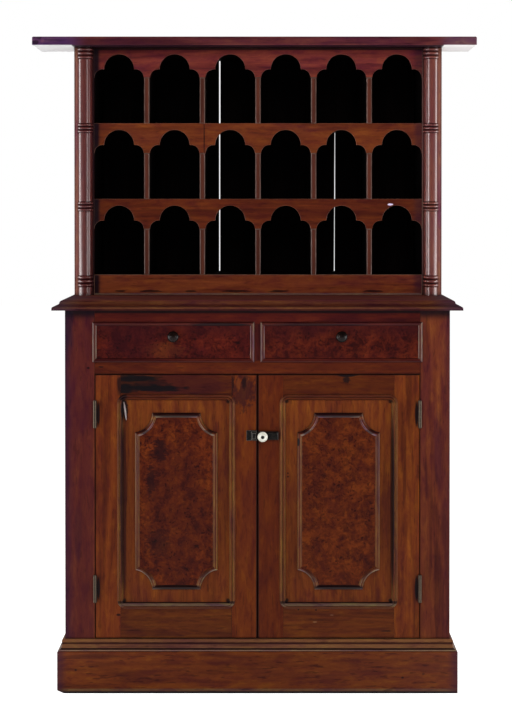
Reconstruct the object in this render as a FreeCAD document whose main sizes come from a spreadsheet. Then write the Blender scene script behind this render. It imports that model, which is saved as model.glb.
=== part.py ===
import FreeCAD, Part
import math
import os
import re

import Sketcher

# A stationery cabinet: a two-door cupboard with two drawers under a rack of pigeonholes.
# Millimetres: X to the right, Y to the back, Z up, the origin on the floor under the middle.

SIZES = {
    # overall depth from the counter's lip to the back, and the width of the lower case
    "total_depth": 470,
    "case_width": 1024,
    # plinth and the moulding on it
    "plinth_height": 111,
    "plinth_board": 19,
    "plinth_arris": 2,
    "plinth_chip_width": 18,
    "plinth_chip_height": 8,
    "plinth_chip_depth": 30,
    "plinth_moulding_height": 29,
    "plinth_moulding_depth": 15,
    "plinth_moulding_fillet": 2,
    "plinth_cove_radius": 14,
    "plinth_bead_depth": 6,
    "plinth_bead_height": 9,
    "plinth_bead_radius": 5.6,
    "plinth_quirk": 1.5,
    # boards and openings of the case
    "side_board": 22,
    "frame_board": 22,
    "floor_board": 22,
    "back_board": 12,
    "back_board_gap": 0.8,
    "stile_width": 79,
    "door_opening_height": 706,
    "drawer_rail_height": 36.5,
    "drawer_rail_depth": 60,
    "drawer_opening_height": 96,
    "drawer_divider_width": 28,
    "top_rail_height": 38,
    "runner_height": 22,
    "runner_tread": 20,
    "guide_height": 20,
    "cupboard_shelf_rise": 350,
    "cupboard_shelf_board": 20,
    "cupboard_shelf_setback": 17,
    "cleat_width": 22,
    "cleat_height": 25,
    "door_stop_place": 200,
    "door_stop_width": 60,
    "door_stop_depth": 14,
    "door_stop_height": 14,
    "door_stop_clearance": 0.5,
    # counter with its ogee edge
    "counter_thickness": 26,
    "counter_overhang": 33,
    "counter_side_overhang": 31,
    "counter_lip": 4.5,
    "counter_nose_reach": 4,
    "counter_nose_rise": 10,
    "counter_nose_radius": 5,
    "counter_cove_reach": 18,
    "counter_cove_rise": 17.5,
    "counter_cove_radius": 14,
    "counter_ovolo_reach": 26,
    "counter_ovolo_radius": 8.5,
    # pigeonhole rack
    "hutch_width": 1029,
    "hutch_depth": 234,
    "hutch_facing": 12,
    "post_width": 55,
    "base_rail_height": 57.5,
    "row_pitch": 212,
    "shelf_board": 15,
    "divider_board": 15.5,
    "divider_proud": 2.5,
    "divider_chamfer": 2,
    "lining_board": 12,
    "hutch_back_board": 10,
    "back_seam_left": 115,
    "back_seam_right": 225,
    "back_seam_gap": 4,
    "back_seam_closed": 0.5,
    "valance_height": 83.5,
    "valance_shadow_gap": 2.5,
    "valance_joint_shift": 5,
    "arch_shoulder": 23,
    "arch_ledge": 4,
    "arch_land": 1,
    "column_radius": 19,
    "column_inset": 24.5,
    "ring_pitch": 9.3,
    "end_ring_pitch": 11.1,
    "ring_proud": 2.6,
    "base_ring_gap": 1.4,
    "lower_ring_gap": 7,
    "middle_ring_gap": 0.6,
    "top_ring_gap": 0.9,
    "cornice_width": 1231,
    "cornice_shift": 9.5,
    "cornice_thickness": 25,
    "cornice_overhang": 50,
    "cornice_depth": 160,
    "cornice_round": 4,
    # doors
    "door_board": 22,
    "door_gap": 2,
    "meeting_gap": 3,
    "door_stile": 67,
    "door_top_rail": 62,
    "door_bottom_rail": 87,
    "tenon_length": 42,
    "tenon_shoulder": 12,
    "panel_board": 8,
    "panel_sunk": 7,
    "groove_depth": 9,
    "panel_float": 1,
    "moulding_lap": 9,
    "moulding_width": 15.5,
    "moulding_rise": 3.3,
    "moulding_corner": 23,
    "moulding_clearance": 0.2,
    "cartouche_side_margin": 38,
    "cartouche_end_margin": 41,
    "cartouche_width": 12,
    "cartouche_rise": 6,
    "cartouche_scoop": 52.5,
    "cartouche_scoop_out": 7.5,
    "burl_board": 3,
    # butt hinges
    "hinge_length": 72,
    "hinge_top_inset": 105,
    "hinge_low_inset": 132,
    "barrel_radius": 4.7,
    "barrel_clearance": 0.3,
    "knuckle_gap": 0.3,
    "pin_radius": 1.5,
    "pin_clearance": 0.05,
    "pin_tip": 1,
    "leaf_thickness": 2,
    "leaf_gap": 0.4,
    "leaf_depth": 16,
    # rim latch with its keeper
    "latch_drop": 162,
    "latch_length": 54.5,
    "latch_height": 21,
    "latch_depth": 12,
    "latch_chamfer": 3,
    "latch_end_wall": 4,
    "spindle_place": 12.5,
    "spindle_radius": 4.3,
    "spindle_clearance": 0.3,
    "spindle_seat": 16,
    "bolt_height": 12,
    "bolt_thickness": 4.5,
    "bolt_clearance": 0.3,
    "bolt_rest_inset": 1,
    "bolt_back_room": 5.5,
    "bolt_throw": 9,
    "bolt_slot_clearance": 0.7,
    "keeper_flange": 13,
    "keeper_height": 27,
    "keeper_plate": 3,
    "keeper_bridge": 14.5,
    "keeper_wall": 4,
    "porcelain_radius": 13.5,
    "porcelain_collar": 9,
    "porcelain_neck": 7,
    "porcelain_depth": 21,
    "porcelain_bore": 2.5,
    "porcelain_face": 6,
    "spindle_screw": 4,
    # bolt inside the left door
    "inner_bolt_radius": 4,
    "inner_bolt_length": 72,
    "inner_bolt_socket": 14,
    "inner_bolt_clearance": 0.4,
    "inner_bolt_top_gap": 2,
    "inner_plate_width": 26,
    "inner_plate_board": 2,
    "staple_width": 14,
    "staple_height": 10,
    "staple_inset": 12,
    "staple_wall": 3,
    "thumb_radius": 4,
    "thumb_reach": 14,
    # drawers
    "drawer_lip": 5.5,
    "drawer_lip_gap": 0.5,
    "drawer_lip_width": 10.5,
    "drawer_lip_rise": 4.6,
    "drawer_clearance": 1,
    "drawer_running_gap": 0.5,
    "drawer_front_board": 20,
    "drawer_side_board": 11,
    "drawer_side_drop": 6,
    "drawer_bottom_board": 7,
    "drawer_bottom_rise": 8,
    "drawer_bottom_groove": 4,
    "drawer_back_gap": 17.5,
    "knob_rise": 15.5,
    "knob_radius": 15,
    "knob_foot": 10,
    "knob_neck": 6.5,
    "knob_depth": 25,
}

ROWS = 3
COLUMNS = 6
CASE_BACK_BOARDS = 5
BEADS_IN_RING = 3
# The rings of a column, upwards: the gap from the shelf level down to them, and the pitch of their beads.
COLUMN_RINGS = (
    ("base_ring_gap", "end_ring_pitch"),
    ("lower_ring_gap", "ring_pitch"),
    ("middle_ring_gap", "ring_pitch"),
    ("top_ring_gap", "end_ring_pitch"),
)
KNUCKLES = 5
JOINED_COLUMNS = 2
HALF_TURN = 180
FULL_TURN = 360
QUARTER_TURN = 90

# Profiles of the planted mouldings as (share of the width, share of the rise), from the outer edge inwards.
MOULDING_BACK = ((0, 0), (0, 0.4), (0.06, 0.8), (0.17, 1))
MOULDING_SLOPE = ((0.22, 1), (0.34, 0.72), (0.42, 0.2), (0.52, 0.55), (0.62, 0.7), (0.72, 0.6))
MOULDING_FOOT = ((0.84, 0.1), (0.94, 0.55), (1, 1))
CARTOUCHE_BACK = ((0, 0), (0, 0.33), (0.1, 0.7), (0.29, 0.93), (0.5, 1))
CARTOUCHE_SLOPE = ((0.58, 1), (0.7, 0.75), (0.95, 0.57))
LIP_BACK = ((0, 0), (0, 0.38), (0.12, 0.8), (0.28, 1))
LIP_SLOPE = ((0.38, 1), (0.46, 0.72), (0.78, 0.6), (1, 0))

WORD = re.compile(r"\b[a-z][a-z_]+\b(?!\()")

doc = FreeCAD.newDocument("stationery_cabinet")
sizes = doc.addObject("Spreadsheet::Sheet", "Sizes")
for row, (alias, number) in enumerate(SIZES.items(), start=1):
    sizes.set(f"A{row}", alias)
    sizes.set(f"B{row}", str(number))
    sizes.setAlias(f"B{row}", alias)
doc.recompute()

nodes = []

# Levels and planes shared by the pieces, written in the sheet's sizes.
LIP = "(-total_depth / 2)"
BACK = "(total_depth / 2)"
FACE = "(counter_overhang - total_depth / 2)"
FRAME_BACK = f"({FACE} + frame_board)"
BACK_INSIDE = f"({BACK} - back_board)"
CASE_HALF = "(case_width / 2)"
CASE_INSIDE = "(case_width / 2 - side_board)"
OPENING_HALF = "(case_width / 2 - stile_width)"
FLOOR_TOP = "(plinth_height + plinth_moulding_height)"
RAIL_LOW = f"({FLOOR_TOP} + door_opening_height)"
RAIL_TOP = f"({RAIL_LOW} + drawer_rail_height)"
DRAWER_TOP = f"({RAIL_TOP} + drawer_opening_height)"
CASE_TOP = f"({DRAWER_TOP} + top_rail_height)"
COUNTER_TOP = f"({CASE_TOP} + counter_thickness)"
COUNTER_HALF = "(case_width / 2 + counter_side_overhang)"
HUTCH_FACE = f"({BACK} - hutch_depth)"
HUTCH_INNER = f"({HUTCH_FACE} + hutch_facing)"
HUTCH_INSIDE = "(hutch_width / 2 - side_board)"
HUTCH_BACK_INSIDE = f"({BACK} - hutch_back_board)"
POST_INNER = "(hutch_width / 2 - post_width)"
CLEAR = f"((2 * {POST_INNER} - {COLUMNS - 1} * divider_board) / {COLUMNS})"
PITCH = f"({CLEAR} + divider_board)"
DOOR_LOW = f"({FLOOR_TOP} + door_gap)"
DOOR_TOP = f"({RAIL_LOW} - door_gap)"
DOOR_OUTER = f"({OPENING_HALF} - door_gap)"
DOOR_INNER = "(meeting_gap / 2)"
PANEL_LOW = f"({DOOR_LOW} + door_bottom_rail)"
PANEL_TOP = f"({DOOR_TOP} - door_top_rail)"
PANEL_FRONT = f"({FACE} + panel_sunk)"
PANEL_BACK = f"({PANEL_FRONT} + panel_board)"
HINGE_X = f"({OPENING_HALF} - door_gap / 2)"
HINGE_Y = f"({FACE} - barrel_radius - barrel_clearance)"
LEAF_BED = "(leaf_thickness - (door_gap - leaf_gap) / 2)"
HINGE_CENTRES = (f"({DOOR_LOW} + hinge_low_inset)", f"({DOOR_TOP} - hinge_top_inset)")
LATCH = f"({DOOR_TOP} - latch_drop)"
SPINDLE_X = f"({DOOR_INNER} + spindle_place)"
INNER_BOLT_X = f"({DOOR_INNER} + door_stile / 2)"
INNER_BOLT_Y = f"({FACE} + door_board + inner_plate_board + inner_bolt_clearance + inner_bolt_radius)"
INNER_BOLT_TOP = f"({DOOR_TOP} - inner_bolt_top_gap)"


def shelf_level(row):
    """The top of a pigeonhole shelf, counted up from the base rail."""
    return f"({COUNTER_TOP} + base_rail_height + {row} * row_pitch)"


HUTCH_TOP = shelf_level(ROWS)


def value(expression):
    """The present value of an expression in the sheet's sizes."""
    return float(sizes.evalExpression(expression))


def bind(item, path, expression):
    """Ties one property to an expression in the sheet's sizes."""
    item.setExpression(path, WORD.sub(lambda word: f"Sizes.{word.group()}", expression))


def place(item, x, y, z, turn=0):
    """Puts a piece at a point given by expressions, turned about the vertical."""
    item.Placement = FreeCAD.Placement(FreeCAD.Vector(), FreeCAD.Rotation(FreeCAD.Vector(0, 0, 1), turn))
    for axis, expression in zip("xyz", (x, y, z)):
        bind(item, f"Placement.Base.{axis}", expression)
    return item


def keep(label, item):
    """Names a finished sub-part and lists it for writing."""
    item.Label = label
    nodes.append(item)
    return item


def group(label, pieces):
    """Keeps like pieces together as separate solids of one sub-part."""
    compound = doc.addObject("Part::Compound", label)
    compound.Links = pieces
    return keep(label, compound)


def box(x_span, y_span, z_span):
    """A plain board between two corners."""
    board = doc.addObject("Part::Box", "board")
    for side, axis, (low, high) in zip(("Length", "Width", "Height"), "xyz", (x_span, y_span, z_span)):
        bind(board, side, f"({high}) - ({low})")
        bind(board, f"Placement.Base.{axis}", low)
    return board


def rod(radius, length, x, y, z, to_front=False):
    """A round bar that rises from its base point, or runs from it to the front."""
    bar = doc.addObject("Part::Cylinder", "rod")
    bind(bar, "Radius", radius)
    bind(bar, "Height", length)
    place(bar, x, y, z)
    if to_front:
        bar.Placement.Rotation = FreeCAD.Rotation(FreeCAD.Vector(1, 0, 0), QUARTER_TURN)
    return bar


def fuse(pieces):
    """Joins touching shapes into one solid."""
    joined = doc.addObject("Part::MultiFuse", "joined")
    joined.Shapes = pieces
    joined.Refine = True
    return joined


def cut(base, tools):
    """Takes separate tools out of a solid."""
    tool = doc.addObject("Part::Compound", "tools")
    tool.Links = tools
    rest = doc.addObject("Part::Cut", "cut")
    rest.Base = base
    rest.Tool = tool
    return rest


def mirrored(side, near, far):
    """The span between two distances from the middle, on the right or, for side -1, on the left."""
    return (near, far) if side > 0 else (f"-({far})", f"-({near})")


def both(near, far):
    """The same span on the left and on the right."""
    return [mirrored(side, near, far) for side in (-1, 1)]


def across(half):
    """A span of equal reach to both sides of the middle."""
    return (f"-{half}", half)


def new_body(name):
    return doc.addObject("PartDesign::Body", name)


def arc_between(start, end, radius):
    """The minor arc between two points, which turns left for a positive radius."""
    chord = end - start
    sagitta = abs(radius) - math.sqrt(radius ** 2 - (chord.Length / 2) ** 2)
    right = FreeCAD.Vector(chord.y, -chord.x, 0).normalize()
    middle = (start + end) / 2 + right * math.copysign(sagitta, radius)
    return Part.Arc(start, middle, end) if radius > 0 else Part.Arc(end, middle, start)


def outline(body, plane, corners, height="0"):
    """A closed sketch through corners (across, up, and the radius of an edge that arrives as an arc)."""
    sketch = body.newObject("Sketcher::SketchObject", "outline")
    support = next(item for item in body.Origin.OriginFeatures if item.Role == plane)
    sketch.AttachmentSupport = [(support, "")]
    sketch.MapMode = "FlatFace"
    bind(sketch, "AttachmentOffset.Base.z", height)
    points = [FreeCAD.Vector(value(corner[0]), value(corner[1]), 0) for corner in corners]
    bends = [value(corner[2]) if len(corner) > 2 else 0 for corner in corners]
    for number, bend in enumerate(bends):
        start, end = points[number - 1], points[number]
        sketch.addGeometry(arc_between(start, end, bend) if bend else Part.LineSegment(start, end))
    starts = [2 if bend < 0 else 1 for bend in bends]
    for number, corner in enumerate(corners):
        end = 3 - starts[number]
        after = (number + 1) % len(corners)
        sketch.addConstraint(Sketcher.Constraint("Coincident", number, end, after, starts[after]))
        size_point(sketch, "DistanceX", number, end, corner[0])
        size_point(sketch, "DistanceY", number, end, corner[1])
        if bends[number]:
            index = sketch.addConstraint(Sketcher.Constraint("Radius", number, abs(bends[number])))
            bind(sketch, f"Constraints[{index}]", f"abs({corner[2]})")
    return sketch


def size_point(sketch, kind, edge, end, expression):
    """Fixes one coordinate of a sketch's corner by an expression."""
    index = sketch.addConstraint(Sketcher.Constraint(kind, edge, end, value(expression)))
    bind(sketch, f"Constraints[{index}]", expression)


def pad(body, sketch, length, midplane=False):
    """Raises a sketch along its normal, or evenly to both sides."""
    feature = body.newObject("PartDesign::Pad", "pad")
    feature.Profile = sketch
    feature.Midplane = midplane
    bind(feature, "Length", length)
    return feature


def pocket(body, sketch):
    """Cuts a sketch right through a body, both ways."""
    feature = body.newObject("PartDesign::Pocket", "pocket")
    feature.Profile = sketch
    feature.Type = "ThroughAll"
    feature.Midplane = True
    return feature


def loft(body, kind, sketches):
    """Adds or takes away the ruled form through a stack of sketches."""
    feature = body.newObject(f"PartDesign::{kind}Loft", "loft")
    feature.Profile = sketches[0]
    feature.Sections = [(sketch, "") for sketch in sketches[1:]]
    feature.Ruled = True
    return feature


def revolve(body, sketch, angle=FULL_TURN, backwards=False):
    """Turns a half profile about the sketch's upright axis."""
    feature = body.newObject("PartDesign::Revolution", "turned")
    feature.Profile = sketch
    feature.ReferenceAxis = (sketch, ["V_Axis"])
    feature.Angle = angle
    feature.Reversed = backwards
    return feature


def edge_names(shape, chosen):
    """The names of the edges whose middle passes a test."""
    return [f"Edge{n}" for n, edge in enumerate(shape.Edges, start=1) if chosen(edge.CenterOfMass)]


def chamfer(body, base, size, chosen):
    """Bevels the chosen edges of a body's last feature."""
    doc.recompute()
    feature = body.newObject("PartDesign::Chamfer", "chamfer")
    feature.Base = (base, edge_names(base.Shape, chosen))
    bind(feature, "Size", size)
    return feature


def steps(profile, width, rise):
    """A profile's points as (inset, height) expressions."""
    return [(f"({inset} * {width})", f"({height} * {rise})") for inset, height in profile]


def rectangle(half_wide, half_tall):
    """A family of nested rectangles by inset."""

    def inset(depth):
        across_half, up_half = f"({half_wide} - {depth})", f"({half_tall} - {depth})"
        return [
            (across_half, f"-{up_half}"),
            (across_half, up_half),
            (f"-{across_half}", up_half),
            (f"-{across_half}", f"-{up_half}"),
        ]

    return inset


def rounded(half_wide, half_tall, corner):
    """A family of nested rectangles with rounded corners by inset."""

    def inset(depth):
        bend = f"({corner} - {depth})"
        far, high = f"({half_wide} - {depth})", f"({half_tall} - {depth})"
        near, low = f"({half_wide} - {corner})", f"({half_tall} - {corner})"
        return [
            (far, f"-{low}", bend),
            (far, low),
            (near, high, bend),
            (f"-{near}", high),
            (f"-{far}", low, bend),
            (f"-{far}", f"-{low}"),
            (f"-{near}", f"-{high}", bend),
            (near, f"-{high}"),
        ]

    return inset


def scooped(half_wide, half_tall, scoop, outside):
    """Nested rectangles, by inset, whose corners are scooped about points beside the outermost corners."""

    def inset(depth):
        bend = f"-({scoop} + {depth})"
        side_reach = f"sqrt(({scoop} + {depth}) ^ 2 - ({outside} + {depth}) ^ 2)"
        end_reach = f"(sqrt(({scoop} + {depth}) ^ 2 - {depth} ^ 2) - {outside})"
        far, high = f"({half_wide} - {depth})", f"({half_tall} - {depth})"
        near, low = f"({half_wide} - {end_reach})", f"({half_tall} - {side_reach})"
        return [
            (far, f"-{low}", bend),
            (far, low),
            (near, high, bend),
            (f"-{near}", high),
            (f"-{far}", low, bend),
            (f"-{far}", f"-{low}"),
            (f"-{near}", f"-{high}", bend),
            (near, f"-{high}"),
        ]

    return inset


def moulded_ring(body, nested, back, slope):
    """A planted frame: its outside follows one stack of insets, its inside another."""
    loft(body, "Additive", [outline(body, "XZ_Plane", nested(inset), height) for inset, height in back])
    loft(body, "Subtractive", [outline(body, "XZ_Plane", nested(inset), height) for inset, height in slope])
    return body


def mitred_run(profile, half_run, reach, ends):
    """A strip along Y that stands out along X, each end mitred or square."""
    strip = new_body("strip")
    pad(strip, outline(strip, "XZ_Plane", profile), f"2 * ({half_run} + {reach})", midplane=True)
    for sign, is_mitred in zip(("-", ""), ends):
        near, far = f"{sign}{half_run}", f"{sign}({half_run} + {reach})"
        waste = [("0", near), (reach, far), ("0", far)]
        if not is_mitred:
            waste.insert(1, (reach, near))
        pocket(strip, outline(strip, "XY_Plane", waste))
    return strip


def skirting(profile, reach, level):
    """A front strip and a right and a left return round the case, mitred at the front corners."""
    half_depth = f"(({BACK} - {FACE}) / 2)"
    middle = f"(({BACK} + {FACE}) / 2)"
    front = mitred_run(profile, CASE_HALF, reach, (True, True))
    right = mitred_run(profile, half_depth, reach, (True, False))
    left = mitred_run(profile, half_depth, reach, (False, True))
    place(front, "0", FACE, level, -QUARTER_TURN)
    place(right, CASE_HALF, middle, level)
    place(left, f"-{CASE_HALF}", middle, level, HALF_TURN)
    return front, right, left


def worn_foot():
    """What has worn off the foot of the plinth's front left corner."""
    chip = new_body("chip")
    edge = f"-({CASE_HALF} + plinth_board)"
    wedge = [(edge, "0"), (f"{edge} + plinth_chip_width", "0"), (edge, "plinth_chip_height")]
    pad(chip, outline(chip, "XZ_Plane", wedge), "plinth_chip_depth")
    return place(chip, "0", f"{FACE} - plinth_board + plinth_chip_depth", "0")


def make_plinth():
    board = [
        ("0", "0"),
        ("plinth_board", "0"),
        ("plinth_board", "plinth_height - plinth_arris"),
        ("plinth_board - plinth_arris", "plinth_height", "plinth_arris"),
        ("0", "plinth_height"),
    ]
    front, right, left = skirting(board, "plinth_board", "0")
    group("plinth_boards", [cut(front, [worn_foot()]), right, cut(left, [worn_foot()])])
    quirk_low = "plinth_moulding_height - plinth_bead_height - plinth_quirk"
    quirk_top = "plinth_moulding_height - plinth_bead_height"
    moulding = [
        ("0", "0"),
        ("plinth_moulding_depth", "0"),
        ("plinth_moulding_depth", "plinth_moulding_fillet"),
        ("plinth_bead_depth + plinth_quirk", quirk_low, "-plinth_cove_radius"),
        ("plinth_bead_depth", quirk_low),
        ("plinth_bead_depth", quirk_top),
        ("plinth_bead_depth", "plinth_moulding_height", "plinth_bead_radius"),
        ("0", "plinth_moulding_height"),
    ]
    group("plinth_moulding", skirting(moulding, "plinth_moulding_depth", "plinth_height"))


def leaf_recess(side, edge, into, centre):
    """The shallow bed of a hinge leaf in an upright edge."""
    depth_span = (FACE, f"{FACE} + leaf_depth")
    height_span = (f"{centre} - hinge_length / 2", f"{centre} + hinge_length / 2")
    low, high = sorted((edge, f"{edge} + {into}"), key=value)
    return box(mirrored(side, low, high), depth_span, height_span)


def make_case():
    frame_span = (FACE, FRAME_BACK)
    sides = [box(span, (FRAME_BACK, BACK), ("0", CASE_TOP)) for span in both(CASE_INSIDE, CASE_HALF)]
    group("case_sides", sides)

    stiles = []
    for side in (-1, 1):
        stile = box(mirrored(side, OPENING_HALF, CASE_HALF), frame_span, ("0", CASE_TOP))
        beds = [leaf_recess(side, OPENING_HALF, LEAF_BED, centre) for centre in HINGE_CENTRES]
        stiles.append(cut(stile, beds))
    group("front_stiles", stiles)

    keep("top_rail", box(across(OPENING_HALF), frame_span, (DRAWER_TOP, CASE_TOP)))
    rail = box(across(OPENING_HALF), (FACE, f"{FACE} + drawer_rail_depth"), (RAIL_LOW, RAIL_TOP))
    bolt_hole = rod(
        "inner_bolt_radius + inner_bolt_clearance",
        "inner_bolt_socket",
        f"-{INNER_BOLT_X}",
        INNER_BOLT_Y,
        RAIL_LOW,
    )
    keep("drawer_rail", cut(rail, [bolt_hole]))
    keep("drawer_divider", box(across("drawer_divider_width / 2"), frame_span, (RAIL_TOP, DRAWER_TOP)))

    tread_span = (f"{FACE} + drawer_rail_depth", BACK_INSIDE)
    tread_level = (f"{RAIL_TOP} - runner_height", RAIL_TOP)
    guide_span = (FRAME_BACK, BACK_INSIDE)
    guide_level = (RAIL_TOP, f"{RAIL_TOP} + guide_height")
    runner_spans = both(f"{OPENING_HALF} - runner_tread", CASE_INSIDE)
    runner_spans.append(across("(drawer_divider_width / 2 + runner_tread)"))
    guide_spans = both(OPENING_HALF, CASE_INSIDE)
    guide_spans.append(across("drawer_divider_width / 2"))
    runners = [box(span, tread_span, tread_level) for span in runner_spans]
    runners += [box(span, guide_span, guide_level) for span in guide_spans]
    group("drawer_runners", runners)

    floor = new_body("floor")
    floor_corners = [
        (f"-{OPENING_HALF}", FACE),
        (OPENING_HALF, FACE),
        (OPENING_HALF, FRAME_BACK),
        (CASE_INSIDE, FRAME_BACK),
        (CASE_INSIDE, BACK_INSIDE),
        (f"-{CASE_INSIDE}", BACK_INSIDE),
        (f"-{CASE_INSIDE}", FRAME_BACK),
        (f"-{OPENING_HALF}", FRAME_BACK),
    ]
    pad(floor, outline(floor, "XY_Plane", floor_corners), "floor_board")
    keep("cupboard_floor", place(floor, "0", "0", f"{FLOOR_TOP} - floor_board"))

    shelf_top = f"({FLOOR_TOP} + cupboard_shelf_rise)"
    shelf_low = f"({shelf_top} - cupboard_shelf_board)"
    shelf_span = (f"{FRAME_BACK} + cupboard_shelf_setback", BACK_INSIDE)
    keep("cupboard_shelf", box(across(CASE_INSIDE), shelf_span, (shelf_low, shelf_top)))
    cleat_level = (f"{shelf_low} - cleat_height", shelf_low)
    cleat_spans = both(f"{CASE_INSIDE} - cleat_width", CASE_INSIDE)
    group("shelf_cleats", [box(span, shelf_span, cleat_level) for span in cleat_spans])

    gaps = f"{CASE_BACK_BOARDS - 1} * back_board_gap"
    board_width = f"((2 * {CASE_INSIDE} - {gaps}) / {CASE_BACK_BOARDS})"
    back_boards = []
    for number in range(CASE_BACK_BOARDS):
        start = f"({number} * ({board_width} + back_board_gap) - {CASE_INSIDE})"
        board_span = (start, f"{start} + {board_width}")
        back_boards.append(box(board_span, (BACK_INSIDE, BACK), (f"{FLOOR_TOP} - floor_board", CASE_TOP)))
    group("case_back_boards", back_boards)

    stop_front = f"({FACE} + door_board + door_stop_clearance)"
    stop_spans = both("door_stop_place", "door_stop_place + door_stop_width")
    stop_level = (f"{RAIL_LOW} - door_stop_height", RAIL_LOW)
    stops = [box(span, (stop_front, f"{stop_front} + door_stop_depth"), stop_level) for span in stop_spans]
    group("door_stops", stops)


def make_counter():
    """The front and side profiles run through each other, which mitres the moulded edge."""
    edge = [
        ("0", "counter_lip", "counter_nose_radius"),
        ("counter_nose_reach", "counter_nose_rise", "-counter_cove_radius"),
        ("counter_cove_reach", "counter_cove_rise", "counter_ovolo_radius"),
        ("counter_ovolo_reach", "counter_thickness"),
    ]
    downwards = [(reach, rise, *bend) for (reach, rise, *bend) in reversed(edge)]
    bends_up = [None] + [corner[2] for corner in edge[:-1]]

    front_run = new_body("front_run")
    front_edge = [(f"{LIP} + {corner[0]}", *corner[1:]) for corner in downwards]
    front_profile = [(LIP, "0"), (BACK, "0"), (BACK, "counter_thickness")] + front_edge
    pad(front_run, outline(front_run, "YZ_Plane", front_profile), f"2 * {COUNTER_HALF}", midplane=True)

    side_run = new_body("side_run")
    right_edge = [
        (f"{COUNTER_HALF} - {corner[0]}", corner[1]) + ((bend,) if bend else ())
        for corner, bend in zip(edge, bends_up)
    ]
    left_edge = [(f"{corner[0]} - {COUNTER_HALF}", *corner[1:]) for corner in downwards]
    side_profile = [(f"-{COUNTER_HALF}", "0"), (COUNTER_HALF, "0")] + right_edge + left_edge
    pad(side_run, outline(side_run, "XZ_Plane", side_profile), "total_depth", midplane=True)

    counter = doc.addObject("Part::Common", "counter")
    counter.Base = front_run
    counter.Tool = side_run
    keep("counter_top", place(counter, "0", "0", CASE_TOP))


def make_column(side):
    """A turned half column with beaded rings below each shelf level, spaced wider at its ends."""
    column = new_body("column")
    profile = [("0", "0"), ("column_radius", "0")]
    for level, (gap, pitch) in enumerate(COLUMN_RINGS):
        start = f"(base_rail_height + {level} * row_pitch - {gap} - {BEADS_IN_RING} * {pitch})"
        bend = f"({pitch} ^ 2 / 4 + ring_proud ^ 2) / (2 * ring_proud)"
        profile.append(("column_radius", start))
        for bead in range(1, BEADS_IN_RING + 1):
            profile.append(("column_radius", f"{start} + {bead} * {pitch}", bend))
    height = f"({HUTCH_TOP} - {COUNTER_TOP})"
    profile += [("column_radius", height), ("0", height)]
    revolve(column, outline(column, "XZ_Plane", profile), HALF_TURN, backwards=True)
    return place(column, f"{side} * ({POST_INNER} + column_inset)", HUTCH_FACE, COUNTER_TOP)


def make_valance(first, count, x_span, level, drop="0"):
    """A fretted strip with a trefoil arch over each of its pigeonholes."""
    strip = new_body("valance")
    left, right = x_span
    blank = [
        (left, "-valance_height"),
        (right, "-valance_height"),
        (right, f"-{drop}"),
        (left, f"-{drop}"),
    ]
    base = outline(strip, "XZ_Plane", blank)
    pad(strip, base, "hutch_facing")
    centre = f"({CLEAR} / 2 - {POST_INNER} + {first} * {PITCH})"
    half = f"({CLEAR} / 2 - arch_land)"
    lobe = f"({half} - arch_shoulder - arch_ledge)"
    ledge = "(arch_shoulder - valance_height)"
    arch = outline(
        strip,
        "XZ_Plane",
        [
            (f"{centre} + {half}", "-valance_height"),
            (f"{centre} + {half} - arch_shoulder", ledge, "arch_shoulder"),
            (f"{centre} + {lobe}", ledge),
            (centre, f"{ledge} + {lobe}", lobe),
            (f"{centre} - {lobe}", ledge, lobe),
            (f"{centre} - {half} + arch_shoulder", ledge),
            (f"{centre} - {half}", "-valance_height", "arch_shoulder"),
        ],
    )
    first_arch = pocket(strip, arch)
    arches = strip.newObject("PartDesign::LinearPattern", "arches")
    arches.Originals = [first_arch]
    arches.Direction = (base, ["H_Axis"])
    arches.Occurrences = count
    bind(arches, "Length", f"{count - 1} * {PITCH}")
    strip.Tip = arches
    return place(strip, "0", HUTCH_INNER, level)


def make_dividers():
    """Upright boards, notched behind the valance and standing proud of it below."""
    board = new_body("divider")
    board.AllowCompound = True
    depth = f"({HUTCH_BACK_INSIDE} - {HUTCH_FACE})"
    profile = [
        ("-divider_proud", "0"),
        (depth, "0"),
        (depth, "row_pitch - shelf_board"),
        ("hutch_facing", "row_pitch - shelf_board"),
        ("hutch_facing", "row_pitch - valance_height"),
        ("-divider_proud", "row_pitch - valance_height"),
    ]
    side_view = outline(board, "YZ_Plane", profile)
    front = -value("divider_proud")
    upright = pad(board, side_view, "divider_board", midplane=True)
    bevelled = chamfer(
        board,
        upright,
        "divider_chamfer",
        lambda middle: math.isclose(middle.y, front, abs_tol=0.01) and middle.z > abs(front),
    )
    doc.recompute()
    grid = board.newObject("PartDesign::LinearPattern", "grid")
    grid.TransformMode = "Whole shape"
    grid.Originals = [bevelled]
    grid.Direction = (side_view, ["N_Axis"])
    grid.Occurrences = COLUMNS - 1
    bind(grid, "Length", f"{COLUMNS - 2} * {PITCH}")
    grid.Direction2 = (side_view, ["V_Axis"])
    grid.Occurrences2 = ROWS
    bind(grid, "Length2", f"{ROWS - 1} * row_pitch")
    board.Tip = grid
    keep("pigeonhole_dividers", place(board, f"-{COLUMNS / 2 - 1} * {PITCH}", HUTCH_FACE, shelf_level(0)))


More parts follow.
